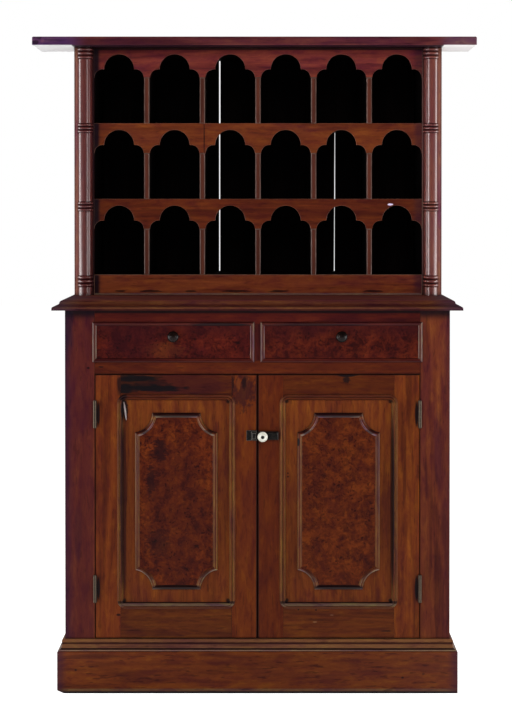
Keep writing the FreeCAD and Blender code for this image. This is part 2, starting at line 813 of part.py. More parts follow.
def make_hutch():
    upright_span = (COUNTER_TOP, HUTCH_TOP)
    facing_span = (HUTCH_FACE, HUTCH_INNER)
    inside_span = (HUTCH_INNER, HUTCH_BACK_INSIDE)
    side_spans = both(HUTCH_INSIDE, "hutch_width / 2")
    group("hutch_sides", [box(span, (HUTCH_INNER, BACK), upright_span) for span in side_spans])
    post_spans = both(POST_INNER, "hutch_width / 2")
    group("hutch_posts", [box(span, facing_span, upright_span) for span in post_spans])
    group("turned_columns", [make_column(side) for side in (-1, 1)])
    keep("hutch_base_rail", box(across(POST_INNER), facing_span, (COUNTER_TOP, shelf_level(0))))

    shelf_levels = [shelf_level(row) for row in range(ROWS + 1)]
    shelves = [box(across(HUTCH_INSIDE), inside_span, (f"{top} - shelf_board", top)) for top in shelf_levels]
    group("pigeonhole_shelves", shelves)

    low, middle, top = shelf_levels[1:]
    whole = across(POST_INNER)
    joint = f"({JOINED_COLUMNS} * {PITCH} - divider_board / 2 - {POST_INNER} + valance_joint_shift)"
    keep("upper_valance", make_valance(0, COLUMNS, whole, top, "valance_shadow_gap"))
    left_length = make_valance(0, JOINED_COLUMNS, (whole[0], joint), middle)
    right_length = make_valance(JOINED_COLUMNS, COLUMNS - JOINED_COLUMNS, (joint, whole[1]), middle)
    group("middle_valance", [left_length, right_length])
    keep("lower_valance", make_valance(0, COLUMNS, whole, low))

    make_dividers()
    linings = []
    for row in range(ROWS):
        row_span = (shelf_level(row), f"{shelf_level(row + 1)} - shelf_board")
        lining_spans = both(POST_INNER, f"{POST_INNER} + lining_board")
        linings += [box(span, inside_span, row_span) for span in lining_spans]
    group("pigeonhole_linings", linings)
    make_hutch_back()

    cornice = new_body("cornice")
    cornice_edges = rectangle("cornice_width / 2", "cornice_depth / 2")
    slab = pad(cornice, outline(cornice, "XY_Plane", cornice_edges("0")), "cornice_thickness")
    doc.recompute()
    worn = cornice.newObject("PartDesign::Fillet", "worn")
    worn.Base = (slab, edge_names(slab.Shape, lambda middle: True))
    bind(worn, "Radius", "cornice_round")
    cornice_y = f"{HUTCH_FACE} - cornice_overhang + cornice_depth / 2"
    keep("cornice_board", place(cornice, "-cornice_shift", cornice_y, HUTCH_TOP))


def make_hutch_back():
    """Three wide upright boards; the right-hand seam has opened towards the bottom."""
    height = f"({HUTCH_TOP} - {COUNTER_TOP})"
    half_gap = "back_seam_gap / 2"
    left_edge, left_near = f"-{HUTCH_INSIDE}", f"-back_seam_left - {half_gap}"
    middle_left = f"-back_seam_left + {half_gap}"
    right_near = f"back_seam_right + {half_gap}"
    outlines = (
        [(left_edge, "0"), (left_near, "0"), (left_near, height), (left_edge, height)],
        [
            (middle_left, "0"),
            (f"back_seam_right - {half_gap}", "0"),
            (f"{right_near} - back_seam_closed", height),
            (middle_left, height),
        ],
        [(right_near, "0"), (HUTCH_INSIDE, "0"), (HUTCH_INSIDE, height), (right_near, height)],
    )
    boards = []
    for corners in outlines:
        board = new_body("back_board")
        pad(board, outline(board, "XZ_Plane", corners), "hutch_back_board")
        boards.append(place(board, "0", BACK, COUNTER_TOP))
    group("hutch_back_boards", boards)


def make_leaf(side, centre, x_span, knuckles):
    """A hinge leaf with its share of the knuckles, bored for the pin."""
    low = f"({centre} - hinge_length / 2)"
    height_span = (low, f"{low} + hinge_length")
    length = f"((hinge_length - {KNUCKLES - 1} * knuckle_gap) / {KNUCKLES})"
    axis_x = f"{side} * {HINGE_X}"
    leaf_span = mirrored(side, *x_span)
    pieces = [box(leaf_span, (FACE, f"{FACE} + leaf_depth"), height_span)]
    for number in knuckles:
        start = f"({low} + {number} * ({length} + knuckle_gap))"
        pieces.append(rod("barrel_radius", length, axis_x, HINGE_Y, start))
        pieces.append(box(leaf_span, (HINGE_Y, FACE), (start, f"{start} + {length}")))
    bore = rod("pin_radius + pin_clearance", "hinge_length", axis_x, HINGE_Y, low)
    return cut(fuse(pieces), [bore])


def make_hinges():
    outer_leaf = (f"{OPENING_HALF} + {LEAF_BED} - leaf_thickness", f"{OPENING_HALF} + {LEAF_BED}")
    inner_leaf = (f"{DOOR_OUTER} - {LEAF_BED}", f"{DOOR_OUTER} - {LEAF_BED} + leaf_thickness")
    case_knuckles, door_knuckles = range(0, KNUCKLES, 2), range(1, KNUCKLES, 2)
    spots = [(side, centre) for side in (-1, 1) for centre in HINGE_CENTRES]
    group("hinge_case_leaves", [make_leaf(side, centre, outer_leaf, case_knuckles) for side, centre in spots])
    pins = []
    for side, centre in spots:
        foot = f"{centre} - hinge_length / 2 - pin_tip"
        pins.append(rod("pin_radius", "hinge_length + 2 * pin_tip", f"{side} * {HINGE_X}", HINGE_Y, foot))
    group("hinge_pins", pins)
    for name, side in (("left", -1), ("right", 1)):
        leaves = [make_leaf(side, centre, inner_leaf, door_knuckles) for centre in HINGE_CENTRES]
        group(f"{name}_door_hinge_leaves", leaves)


def make_door_frame(name, side):
    """Stiles mortised for the rails' tenons, all grooved for the panel."""
    board_span = (FACE, f"{FACE} + door_board")
    groove_span = (PANEL_FRONT, PANEL_BACK)
    hinge_inner, meeting_inner = f"({DOOR_OUTER} - door_stile)", f"({DOOR_INNER} + door_stile)"
    rail_spans = ((DOOR_LOW, PANEL_LOW), (PANEL_TOP, DOOR_TOP))
    tenon_spans = [(f"{low} + tenon_shoulder", f"{high} - tenon_shoulder") for low, high in rail_spans]
    groove_level = (f"{PANEL_LOW} - groove_depth", f"{PANEL_TOP} + groove_depth")

    hinge_tools = [leaf_recess(side, DOOR_OUTER, f"(-{LEAF_BED})", centre) for centre in HINGE_CENTRES]
    meeting_tools = []
    if side > 0:
        spindle_hole = rod(
            "spindle_radius + spindle_clearance",
            "door_board",
            SPINDLE_X,
            f"{FACE} + door_board",
            LATCH,
            to_front=True,
        )
        meeting_tools.append(spindle_hole)
    hinge_bed = (hinge_inner, f"{hinge_inner} + groove_depth")
    meeting_bed = (f"{meeting_inner} - groove_depth", meeting_inner)
    hinge_tools.append(box(mirrored(side, *hinge_bed), groove_span, groove_level))
    meeting_tools.append(box(mirrored(side, *meeting_bed), groove_span, groove_level))
    for span in tenon_spans:
        hinge_mortise = (hinge_inner, f"{hinge_inner} + tenon_length")
        meeting_mortise = (f"{meeting_inner} - tenon_length", meeting_inner)
        hinge_tools.append(box(mirrored(side, *hinge_mortise), groove_span, span))
        meeting_tools.append(box(mirrored(side, *meeting_mortise), groove_span, span))
    door_level = (DOOR_LOW, DOOR_TOP)
    hinge_stile = box(mirrored(side, hinge_inner, DOOR_OUTER), board_span, door_level)
    meeting_stile = box(mirrored(side, DOOR_INNER, meeting_inner), board_span, door_level)
    group(f"{name}_door_stiles", [cut(hinge_stile, hinge_tools), cut(meeting_stile, meeting_tools)])

    rail_length = mirrored(side, meeting_inner, hinge_inner)
    tenon_length = mirrored(side, f"{meeting_inner} - tenon_length", f"{hinge_inner} + tenon_length")
    groove_levels = ((f"{PANEL_LOW} - groove_depth", PANEL_LOW), (PANEL_TOP, f"{PANEL_TOP} + groove_depth"))
    rails = []
    for rail_span, tenon_span, groove in zip(rail_spans, tenon_spans, groove_levels):
        solid = fuse([box(rail_length, board_span, rail_span), box(tenon_length, groove_span, tenon_span)])
        rails.append(cut(solid, [box(rail_length, groove_span, groove)]))
    group(f"{name}_door_rails", rails)

    bite = "(groove_depth - panel_float)"
    panel_width = mirrored(side, f"{meeting_inner} - {bite}", f"{hinge_inner} + {bite}")
    panel_height = (f"{PANEL_LOW} - {bite}", f"{PANEL_TOP} + {bite}")
    keep(f"{name}_door_panel", box(panel_width, groove_span, panel_height))


def make_door_mouldings(name, side):
    """A bolection moulding round the opening and a scooped cartouche on the sunk panel."""
    half_wide = f"(({DOOR_OUTER} - {DOOR_INNER}) / 2 - door_stile)"
    half_tall = f"(({PANEL_TOP} - {PANEL_LOW}) / 2)"
    centre_x = f"{side} * ({DOOR_OUTER} + {DOOR_INNER}) / 2"
    centre_z = f"({PANEL_TOP} + {PANEL_LOW}) / 2"

    bolection = new_body("bolection")
    nested = rounded(f"({half_wide} + moulding_lap)", f"({half_tall} + moulding_lap)", "moulding_corner")
    rebate = nested("(moulding_lap + moulding_clearance)")
    pad(bolection, outline(bolection, "XZ_Plane", rebate, "-panel_sunk"), "panel_sunk")
    slope = steps(MOULDING_SLOPE, "moulding_width", "moulding_rise")
    slope += steps(MOULDING_FOOT, "moulding_width", "(-panel_sunk)")
    moulded_ring(bolection, nested, steps(MOULDING_BACK, "moulding_width", "moulding_rise"), slope)
    keep(f"{name}_door_panel_moulding", place(bolection, centre_x, FACE, centre_z))

    cartouche = new_body("cartouche")
    wide = f"({half_wide} - cartouche_side_margin)"
    tall = f"({half_tall} - cartouche_end_margin)"
    nested = scooped(wide, tall, "cartouche_scoop", "cartouche_scoop_out")
    slope = steps(CARTOUCHE_SLOPE, "cartouche_width", "cartouche_rise")
    slope += [("cartouche_width", "burl_board"), ("cartouche_width", "0")]
    moulded_ring(cartouche, nested, steps(CARTOUCHE_BACK, "cartouche_width", "cartouche_rise"), slope)
    keep(f"{name}_door_cartouche", place(cartouche, centre_x, PANEL_FRONT, centre_z))

    burl = new_body("burl")
    pad(burl, outline(burl, "XZ_Plane", nested("cartouche_width")), "burl_board")
    keep(f"{name}_door_burl_panel", place(burl, centre_x, PANEL_FRONT, centre_z))


def bevelled_block(length, height):
    """An iron block on the face of a door, its front edges bevelled."""
    block = new_body("block")
    sides = rectangle(f"({length}) / 2", f"({height}) / 2")
    solid = pad(block, outline(block, "XZ_Plane", sides("0")), "latch_depth")
    face = -value("latch_depth")
    chamfer(block, solid, "latch_chamfer", lambda middle: math.isclose(middle.y, face, abs_tol=0.01))
    return block


def make_latch():
    """A rim latch on the right door, its bolt thrown by the knob into a keeper on the left door."""
    half_room = "(bolt_height / 2 + bolt_clearance)"
    bolt_front = f"{FACE} - bolt_clearance - bolt_thickness"
    room_span = (f"{bolt_front} - bolt_clearance", FACE)
    room_level = (f"{LATCH} - {half_room}", f"{LATCH} + {half_room}")
    spindle_bore = "(spindle_radius + spindle_clearance)"

    casting = bevelled_block("latch_length", "latch_height")
    place(casting, f"{DOOR_INNER} + latch_length / 2", FACE, LATCH)
    room_end = f"({DOOR_INNER} + latch_length - latch_end_wall)"
    room = box((DOOR_INNER, room_end), room_span, room_level)
    spindle_hole = rod(spindle_bore, "latch_depth", SPINDLE_X, FACE, LATCH, to_front=True)
    keep("latch_case", cut(casting, [fuse([room, spindle_hole])]))

    bar_span = (bolt_front, f"{FACE} - bolt_clearance")
    bar_level = (f"{LATCH} - bolt_height / 2", f"{LATCH} + bolt_height / 2")
    bar = box((f"{DOOR_INNER} + bolt_rest_inset", f"{room_end} - bolt_back_room"), bar_span, bar_level)
    slot_reach = "(spindle_radius + bolt_slot_clearance)"
    slot_span = (f"{SPINDLE_X} - {slot_reach}", f"{SPINDLE_X} + {slot_reach} + bolt_throw")
    slot_level = (f"{LATCH} - {spindle_bore}", f"{LATCH} + {spindle_bore}")
    keep("latch_bolt", cut(bar, [box(slot_span, bar_span, slot_level)]))

    plate_span = (f"{FACE} - keeper_plate", FACE)
    keeper_level = (f"{LATCH} - keeper_height / 2", f"{LATCH} + keeper_height / 2")
    plate_run = mirrored(-1, DOOR_INNER, f"{DOOR_INNER} + keeper_bridge + keeper_flange")
    socket_run = mirrored(-1, DOOR_INNER, f"{DOOR_INNER} + keeper_bridge - keeper_wall")
    bridge = bevelled_block("keeper_bridge", "latch_height")
    place(bridge, f"-({DOOR_INNER} + keeper_bridge / 2)", FACE, LATCH)
    socket = box(socket_run, room_span, room_level)
    keep("latch_keeper", cut(fuse([box(plate_run, plate_span, keeper_level), bridge]), [socket]))

    knob_back = f"{FACE} - latch_depth - bolt_clearance"
    porcelain = new_body("porcelain")
    knob_profile = [
        ("porcelain_bore", "0"),
        ("porcelain_collar", "0"),
        ("porcelain_collar", "-porcelain_depth * 0.1"),
        ("porcelain_neck", "-porcelain_depth * 0.3", "porcelain_collar"),
        ("porcelain_radius", "-porcelain_depth * 0.66", "porcelain_radius"),
        ("porcelain_face", "-porcelain_depth", "-porcelain_radius * 0.9"),
        ("porcelain_bore", "-porcelain_depth"),
    ]
    revolve(porcelain, outline(porcelain, "XY_Plane", knob_profile))
    keep("latch_knob", place(porcelain, SPINDLE_X, knob_back, LATCH))

    spindle = new_body("spindle")
    shaft_end = "(spindle_seat + latch_depth + bolt_clearance)"
    screw_start = f"({shaft_end} + porcelain_depth)"
    spindle_profile = [
        ("0", "0"),
        ("spindle_radius", "0"),
        ("spindle_radius", f"-{shaft_end}"),
        ("porcelain_bore", f"-{shaft_end}"),
        ("porcelain_bore", f"-{screw_start}"),
        ("spindle_screw", f"-{screw_start}"),
        ("0", f"-{screw_start} - spindle_screw / 2", "-spindle_screw * 1.25"),
    ]
    revolve(spindle, outline(spindle, "XY_Plane", spindle_profile))
    keep("latch_spindle", place(spindle, SPINDLE_X, f"{FACE} + spindle_seat", LATCH))


def make_inner_bolt():
    """A round bolt in two staples on the back of the left door, which shoots up into the drawer rail."""
    bolt_x = f"-{INNER_BOLT_X}"
    door_back = f"({FACE} + door_board)"
    low = f"({INNER_BOLT_TOP} - inner_bolt_length)"
    plate_back = f"({door_back} + inner_plate_board)"
    half_plate, half_staple = "inner_plate_width / 2", "staple_width / 2"
    plate_span = (f"{bolt_x} - {half_plate}", f"{bolt_x} + {half_plate}")
    plate = box(plate_span, (door_back, plate_back), (low, INNER_BOLT_TOP))
    staple_back = f"{INNER_BOLT_Y} + inner_bolt_radius + staple_wall"
    staple_x = (f"{bolt_x} - {half_staple}", f"{bolt_x} + {half_staple}")
    first = f"({low} + staple_inset)"
    second = f"({INNER_BOLT_TOP} - staple_inset)"
    low_staple = box(staple_x, (plate_back, staple_back), (first, f"{first} + staple_height"))
    top_staple = box(staple_x, (plate_back, staple_back), (f"{second} - staple_height", second))
    bore = rod("inner_bolt_radius + inner_bolt_clearance", "inner_bolt_length", bolt_x, INNER_BOLT_Y, low)
    keep("inner_bolt_plate", cut(fuse([plate, low_staple, top_staple]), [bore]))

    shaft = rod("inner_bolt_radius", "inner_bolt_length", bolt_x, INNER_BOLT_Y, low)
    thumb_level = f"{first} + staple_height + thumb_radius + inner_bolt_clearance"
    thumb_end = f"{INNER_BOLT_Y} + thumb_reach"
    thumb = rod("thumb_radius", "thumb_reach", bolt_x, thumb_end, thumb_level, to_front=True)
    keep("inner_bolt", fuse([shaft, thumb]))


def make_drawer(name, side):
    """A lipped front on a box whose bottom slides in under its back."""
    near, far = "(drawer_divider_width / 2)", OPENING_HALF
    front_face = f"({FACE} - drawer_lip_gap)"
    front_back = f"({front_face} + drawer_front_board)"
    box_end = f"({BACK_INSIDE} - drawer_back_gap)"
    inner, outer = f"({near} + drawer_clearance)", f"({far} - drawer_clearance)"
    front_level = (f"{RAIL_TOP} + drawer_clearance", f"{DRAWER_TOP} - drawer_clearance")
    keep(f"{name}_drawer_front", box(mirrored(side, inner, outer), (front_face, front_back), front_level))

    lip = new_body("lip")
    half_wide = f"(({far} - {near}) / 2 + drawer_lip)"
    half_tall = "(drawer_opening_height / 2 + drawer_lip)"
    back = steps(LIP_BACK, "drawer_lip_width", "drawer_lip_rise")
    slope = steps(LIP_SLOPE, "drawer_lip_width", "drawer_lip_rise")
    moulded_ring(lip, rectangle(half_wide, half_tall), back, slope)
    centre_x = f"{side} * ({far} + {near}) / 2"
    centre_z = f"({RAIL_TOP} + {DRAWER_TOP}) / 2"
    keep(f"{name}_drawer_lip", place(lip, centre_x, front_face, centre_z))

    low = f"({RAIL_TOP} + drawer_running_gap)"
    bottom_low = f"({low} + drawer_bottom_rise)"
    bottom_span = (bottom_low, f"{bottom_low} + drawer_bottom_board")
    side_level = (low, f"{DRAWER_TOP} - drawer_side_drop")
    box_run = (front_back, box_end)
    sides = []
    for start, groove in (
        (inner, f"{inner} + drawer_side_board - drawer_bottom_groove"),
        (f"{outer} - drawer_side_board", f"{outer} - drawer_side_board"),
    ):
        wall = box(mirrored(side, start, f"{start} + drawer_side_board"), box_run, side_level)
        bed = box(mirrored(side, groove, f"{groove} + drawer_bottom_groove"), box_run, bottom_span)
        sides.append(cut(wall, [bed]))
    inside = (f"{inner} + drawer_side_board", f"{outer} - drawer_side_board")
    back_run = (f"{box_end} - drawer_side_board", box_end)
    box_back = box(mirrored(side, *inside), back_run, (bottom_span[1], side_level[1]))
    group(f"{name}_drawer_box", sides + [box_back])
    bottom_run = mirrored(side, f"{inside[0]} - drawer_bottom_groove", f"{inside[1]} + drawer_bottom_groove")
    keep(f"{name}_drawer_bottom", box(bottom_run, box_run, bottom_span))

    knob = new_body("knob")
    knob_profile = [
        ("0", "0"),
        ("knob_foot", "0"),
        ("knob_foot", "-knob_depth * 0.1"),
        ("knob_neck", "-knob_depth * 0.34", "knob_foot"),
        ("knob_radius", "-knob_depth * 0.68", "knob_radius"),
        ("0", "-knob_depth", "-knob_radius * 1.12"),
    ]
    revolve(knob, outline(knob, "XY_Plane", knob_profile))
    keep(f"{name}_drawer_knob", place(knob, centre_x, front_face, f"{centre_z} + knob_rise"))


def write_parts():
    """Checks every piece and writes each sub-part to its own file."""
    doc.recompute()
    for item in doc.Objects:
        if "Invalid" in item.State or "Error" in item.State:
            raise RuntimeError(f"{item.Label} failed: {item.State}")
    os.makedirs("parts", exist_ok=True)
    for item in nodes:
        shape = item.Shape
        if shape.isNull() or not shape.isValid() or not shape.Solids:
            raise RuntimeError(f"{item.Label} has no sound solid")
    for item in nodes:
        item.Shape.exportStep(f"parts/{item.Label}.step")
    print(len(nodes), "sub-parts,", sum(len(item.Shape.Solids) for item in nodes), "solids")


make_plinth()
make_case()
make_counter()
make_hutch()
make_hinges()
for door_name, door_side in (("left", -1), ("right", 1)):
    make_door_frame(door_name, door_side)
    make_door_mouldings(door_name, door_side)
    make_drawer(door_name, door_side)
make_latch()
make_inner_bolt()
write_parts()
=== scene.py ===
import math

import bmesh
import bpy
from mathutils import Matrix, Vector


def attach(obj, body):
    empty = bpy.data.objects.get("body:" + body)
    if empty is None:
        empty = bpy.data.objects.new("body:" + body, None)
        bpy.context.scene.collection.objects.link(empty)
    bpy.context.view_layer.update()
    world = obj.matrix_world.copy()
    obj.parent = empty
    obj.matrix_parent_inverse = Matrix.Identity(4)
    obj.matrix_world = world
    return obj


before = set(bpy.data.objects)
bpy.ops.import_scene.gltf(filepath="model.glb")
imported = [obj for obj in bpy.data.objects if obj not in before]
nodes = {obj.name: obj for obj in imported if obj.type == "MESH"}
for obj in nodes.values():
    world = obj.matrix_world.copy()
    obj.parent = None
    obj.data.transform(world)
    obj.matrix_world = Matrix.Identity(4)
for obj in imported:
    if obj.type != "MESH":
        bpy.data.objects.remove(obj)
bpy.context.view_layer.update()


# How the materials are wired

def join(tree, socket, source):
    """Links a socket to an input, or sets the input to a plain value."""
    if isinstance(source, bpy.types.NodeSocket):
        tree.links.new(source, socket)
    else:
        socket.default_value = source


def add(tree, kind, inputs=None, **settings):
    """Adds one node with its settings and its inputs, named or counted."""
    made = tree.nodes.new(kind)
    for name, setting in settings.items():
        setattr(made, name, setting)
    for name, source in (inputs or {}).items():
        join(tree, made.inputs[name], source)
    return made


def calc(tree, operation, *terms, clamp=False):
    """One sum on sockets or plain numbers."""
    sums = add(tree, "ShaderNodeMath", dict(enumerate(terms)), operation=operation, use_clamp=clamp)
    return sums.outputs[0]


def spread(tree, source, low, high, bottom=0.0, top=1.0):
    """A value eased from one range into another."""
    inputs = {0: source, 1: low, 2: high, 3: bottom, 4: top}
    return add(tree, "ShaderNodeMapRange", inputs, interpolation_type="SMOOTHSTEP").outputs[0]


def tint(tree, share, under, over, how="MIX"):
    """Lays one colour over another."""
    inputs = {0: share, 6: under, 7: over}
    return add(tree, "ShaderNodeMix", inputs, data_type="RGBA", blend_type=how).outputs[2]


def ramp(tree, share, stops):
    """Colours along a scale from 0 to 1."""
    made = add(tree, "ShaderNodeValToRGB", {0: share})
    scale = made.color_ramp.elements
    for number, (place, colour) in enumerate(stops):
        stop = scale[number] if number < 2 else scale.new(place)
        stop.position, stop.color = place, (*colour, 1)
    return made.outputs[0]


def stretched(tree, vector, factors):
    """A pattern's coordinates drawn out by a factor along each axis."""
    return add(tree, "ShaderNodeVectorMath", {0: vector, 1: factors}, operation="MULTIPLY").outputs[0]


def noise(tree, vector, detail=3.0, roughness=0.55, distortion=0.0, output=0):
    """Cloudy noise, as a value or, from its second output, as a colour."""
    inputs = {"Vector": vector, "Scale": 1.0, "Detail": detail, "Roughness": roughness, "Distortion": distortion}
    return add(tree, "ShaderNodeTexNoise", inputs).outputs[output]


def axes(tree, vector):
    """The three parts of a vector."""
    return add(tree, "ShaderNodeSeparateXYZ", {0: vector}).outputs


def outward(tree):
    """The three parts of the way a surface faces, in the object's own axes."""
    return axes(tree, add(tree, "ShaderNodeTexCoord").outputs["Normal"])


def glazed(tree, colour, layers):
    """Multiplies a colour through masks: each layer is a share and three factors."""
    for share, factors in layers:
        colour = tint(tree, share, colour, (*factors, 1), "MULTIPLY")
    return colour


def raised(tree, shader, height, strength, depth):
    """Raises the surface by a pattern."""
    bump = add(tree, "ShaderNodeBump", {"Height": height, "Strength": strength, "Distance": depth})
    join(tree, shader["Normal"], bump.outputs[0])


def empty_tree(holder):
    """The emptied node tree of a new material or world."""
    holder.use_nodes = True
    holder.node_tree.nodes.clear()
    return holder.node_tree


def new_group(name, inputs, outputs):
    """An empty shader group with its sockets, ready to be wired."""
    tree = bpy.data.node_groups.new(name, "ShaderNodeTree")
    for label, kind in inputs:
        tree.interface.new_socket(label, in_out="INPUT", socket_type=f"NodeSocket{kind}")
    for label, kind in outputs:
        tree.interface.new_socket(label, in_out="OUTPUT", socket_type=f"NodeSocket{kind}")
    return tree, add(tree, "NodeGroupInput").outputs, add(tree, "NodeGroupOutput").inputs


def use_group(tree, group, inputs):
    """Adds a shader group and gives its outputs."""
    return add(tree, "ShaderNodeGroup", inputs, node_tree=group).outputs


def seeded(tree, given):
    """A group's coordinates moved along by its seed, so that no two pieces share a figure."""
    shift = add(tree, "ShaderNodeCombineXYZ", {part: given["Seed"] for part in range(3)}).outputs[0]
    return add(tree, "ShaderNodeVectorMath", {0: given["Place"], 1: shift}, operation="ADD").outputs[0]


def make_grain_group():
    """Plain-sawn cedar: drawn-out bands, contour lines, fibres and pores along the third axis."""
    tree, given, result = new_group(
        "cedar_grain",
        [("Place", "Vector"), ("Seed", "Float")],
        [(label, "Float") for label in ("Figure", "Fibre", "Pores", "Cloud", "Mottle", "Flecks")],
    )
    place = seeded(tree, given)
    bands = noise(tree, stretched(tree, place, (10, 10, 0.9)), 2.0, 0.5, 0.4)
    streaks = noise(tree, stretched(tree, place, (85, 85, 3.2)), 4.0, 0.6)
    fibre = noise(tree, stretched(tree, place, (380, 380, 9)), 3.0, 0.6)
    pores = noise(tree, stretched(tree, place, (900, 900, 34)), 1.0, 0.5)
    lines = calc(tree, "SINE", calc(tree, "MULTIPLY_ADD", bands, 62.0, calc(tree, "MULTIPLY", streaks, 5.0)))
    contour = calc(tree, "MULTIPLY_ADD", lines, 0.09, calc(tree, "MULTIPLY_ADD", bands, 0.75, -0.375))
    streaky = calc(tree, "MULTIPLY_ADD", streaks, 0.8, calc(tree, "MULTIPLY", fibre, 0.3))
    join(tree, result["Figure"], calc(tree, "ADD", contour, calc(tree, "SUBTRACT", streaky, 0.05), clamp=True))
    join(tree, result["Fibre"], fibre)
    join(tree, result["Pores"], spread(tree, pores, 0.6, 0.7))
    join(tree, result["Cloud"], noise(tree, stretched(tree, place, (13, 13, 4.0)), 4.0, 0.62, 0.5))
    join(tree, result["Mottle"], noise(tree, stretched(tree, place, (62, 62, 17)), 4.0, 0.66, 0.4))
    flecks = noise(tree, stretched(tree, place, (170, 170, 26)), 2.0, 0.5)
    join(tree, result["Flecks"], spread(tree, flecks, 0.61, 0.70))
    return tree


def make_burl_group():
    """Burl veneer: fine curled mottle with small dark eyes that gather in clouds."""
    tree, given, result = new_group(
        "burl_figure",
        [("Place", "Vector"), ("Seed", "Float")],
        [("Figure", "Float"), ("Eyes", "Float"), ("Cloud", "Float")],
    )
    place = seeded(tree, given)
    drift = noise(tree, stretched(tree, place, (26, 26, 26)), 3.0, 0.6, output=1)
    curl = add(tree, "ShaderNodeVectorMath", {0: drift, 1: (0.05, 0.05, 0.05), 2: place}, operation="MULTIPLY_ADD")
    curled = curl.outputs[0]
    mottle = noise(tree, stretched(tree, curled, (95, 95, 95)), 5.0, 0.68)
    swirl = noise(tree, stretched(tree, curled, (34, 34, 34)), 3.0, 0.6)
    eyes = add(
        tree,
        "ShaderNodeTexVoronoi",
        {"Vector": stretched(tree, curled, (105, 105, 105)), "Scale": 1.0, "Randomness": 1.0},
    ).outputs["Distance"]
    gather = spread(tree, noise(tree, stretched(tree, place, (38, 38, 38)), 3.0, 0.6), 0.46, 0.6)
    figure = calc(tree, "MULTIPLY_ADD", mottle, 1.0, calc(tree, "MULTIPLY_ADD", swirl, 0.8, -0.4), clamp=True)
    join(tree, result["Figure"], figure)
    join(tree, result["Eyes"], calc(tree, "MULTIPLY", spread(tree, eyes, 0.16, 0.48, 1.0, 0.0), gather))
    join(tree, result["Cloud"], noise(tree, stretched(tree, place, (24, 24, 17)), 5.0, 0.66))
    return tree


def make_patch_group():
    """A ragged patch about a centre, for knots, stains, chips and painted shadows and highlights; the fray says how
    its edge is torn.
    """
    tree, given, result = new_group(
        "ragged_patch",
        [("Place", "Vector"), ("Centre", "Vector"), ("Reach", "Vector"), ("Ragged", "Float"), ("Fray", "Vector")],
        [("Mask", "Float")],
    )
    offset = add(tree, "ShaderNodeVectorMath", {0: given["Place"], 1: given["Centre"]}, operation="SUBTRACT")
    share = add(tree, "ShaderNodeVectorMath", {0: offset.outputs[0], 1: given["Reach"]}, operation="DIVIDE")
    away = add(tree, "ShaderNodeVectorMath", {0: share.outputs[0]}, operation="LENGTH").outputs["Value"]
    torn = calc(tree, "SUBTRACT", noise(tree, stretched(tree, given["Place"], given["Fray"]), 3.0, 0.6), 0.5)
    edge = calc(tree, "MULTIPLY_ADD", torn, given["Ragged"], away)
    join(tree, result["Mask"], spread(tree, edge, 0.6, 1.05, 1.0, 0.0))
    return tree


def make_corner_dirt_and_shade_group():
    """Dirt and old polish that gather in corners and quirks, and painted shade there: the colour darkens where
    ambient occlusion finds a hollow.
    """
    tree, given, result = new_group(
        "corner_dirt_and_painted_shade",
        [("Colour", "Color"), ("Place", "Vector"), ("Strength", "Float")],
        [("Colour", "Color"), ("Mask", "Float")],
    )
    shade = add(tree, "ShaderNodeAmbientOcclusion", {"Distance": 0.016}, samples=6).outputs["AO"]
    uneven = noise(tree, stretched(tree, given["Place"], (28, 28, 28)), 3.0, 0.6)
    hidden = calc(tree, "SUBTRACT", 1.0, shade)
    hollow_shade_and_dirt = calc(tree, "MULTIPLY", spread(tree, hidden, 0.16, 0.72), calc(tree, "MULTIPLY_ADD", uneven, 0.8, 0.55))
    mask = calc(tree, "MULTIPLY", hollow_shade_and_dirt, given["Strength"], clamp=True)
    join(tree, result["Colour"], tint(tree, mask, given["Colour"], (0.003, 0.0015, 0.002, 1)))
    join(tree, result["Mask"], mask)
    return tree


GRAIN = make_grain_group()
BURL = make_burl_group()
PATCH = make_patch_group()
CORNER_DIRT_AND_SHADE = make_corner_dirt_and_shade_group()

# linear colours of old marks on the wood and the iron, and of the shadows and highlights painted onto them
PURPLE_STAIN = (0.034, 0.0060, 0.0105)
# black of stains and knots, and of painted shadow in gaps, quirks and corners
BLACK_STAIN_AND_SHADOW = (0.0030, 0.0016, 0.0026)
# painted shadow beside the columns and under the counter
PAINTED_SHADOW_NAVY = (0.0040, 0.0024, 0.0050)
BARE_WOOD = (0.26, 0.150, 0.085)
KNOT_BROWN = (0.008, 0.0020, 0.0026)
EYE_BROWN = (0.007, 0.0018, 0.0030)
# painted highlight down the hinge barrels
PAINTED_IRON_HIGHLIGHT = (0.130, 0.0950, 0.0640)

# planes of the faces that carry marks, and how deep a mark goes, in metres
FRONT, RACK, BACK = -0.202, 0.001, 0.235
PLINTH_FACE, PLINTH_MOULD_FACE, CORNICE_FACE = -0.221, -0.217, -0.049
BURL_FACE, DRAWER_FACE, KNOB_FACE = -0.198, -0.2025, -0.2353
MARK_DEPTH = 0.03

# middles of a door and of the latch knob, and where the plinth's returns begin, in metres
DOOR_X, DOOR_Z = 0.21625, 0.5055
LATCH_X, LATCH_Z = 0.014, 0.682
SKIRTING_MITRE = 0.31

# how finely the edge of a mark is torn along each axis
FINE_FRAY, LONG_FRAY, TALL_FRAY = (95, 95, 190), (16, 60, 260), (260, 60, 18)
KNOT_FRAY, STREAK_FRAY = (150, 60, 60), (30, 60, 170)


def mark(x, z, wide, tall, colour=BLACK_STAIN_AND_SHADOW, strength=0.85, ragged=1.0, fray=FINE_FRAY, plane=FRONT):
    """A knot, stain, chip, painted shadow or painted highlight on the front, given by its middle, its half width
    and its half height.
    """
    return (x, plane, z), (wide, MARK_DEPTH, tall), ragged, fray, (*colour, 1), strength


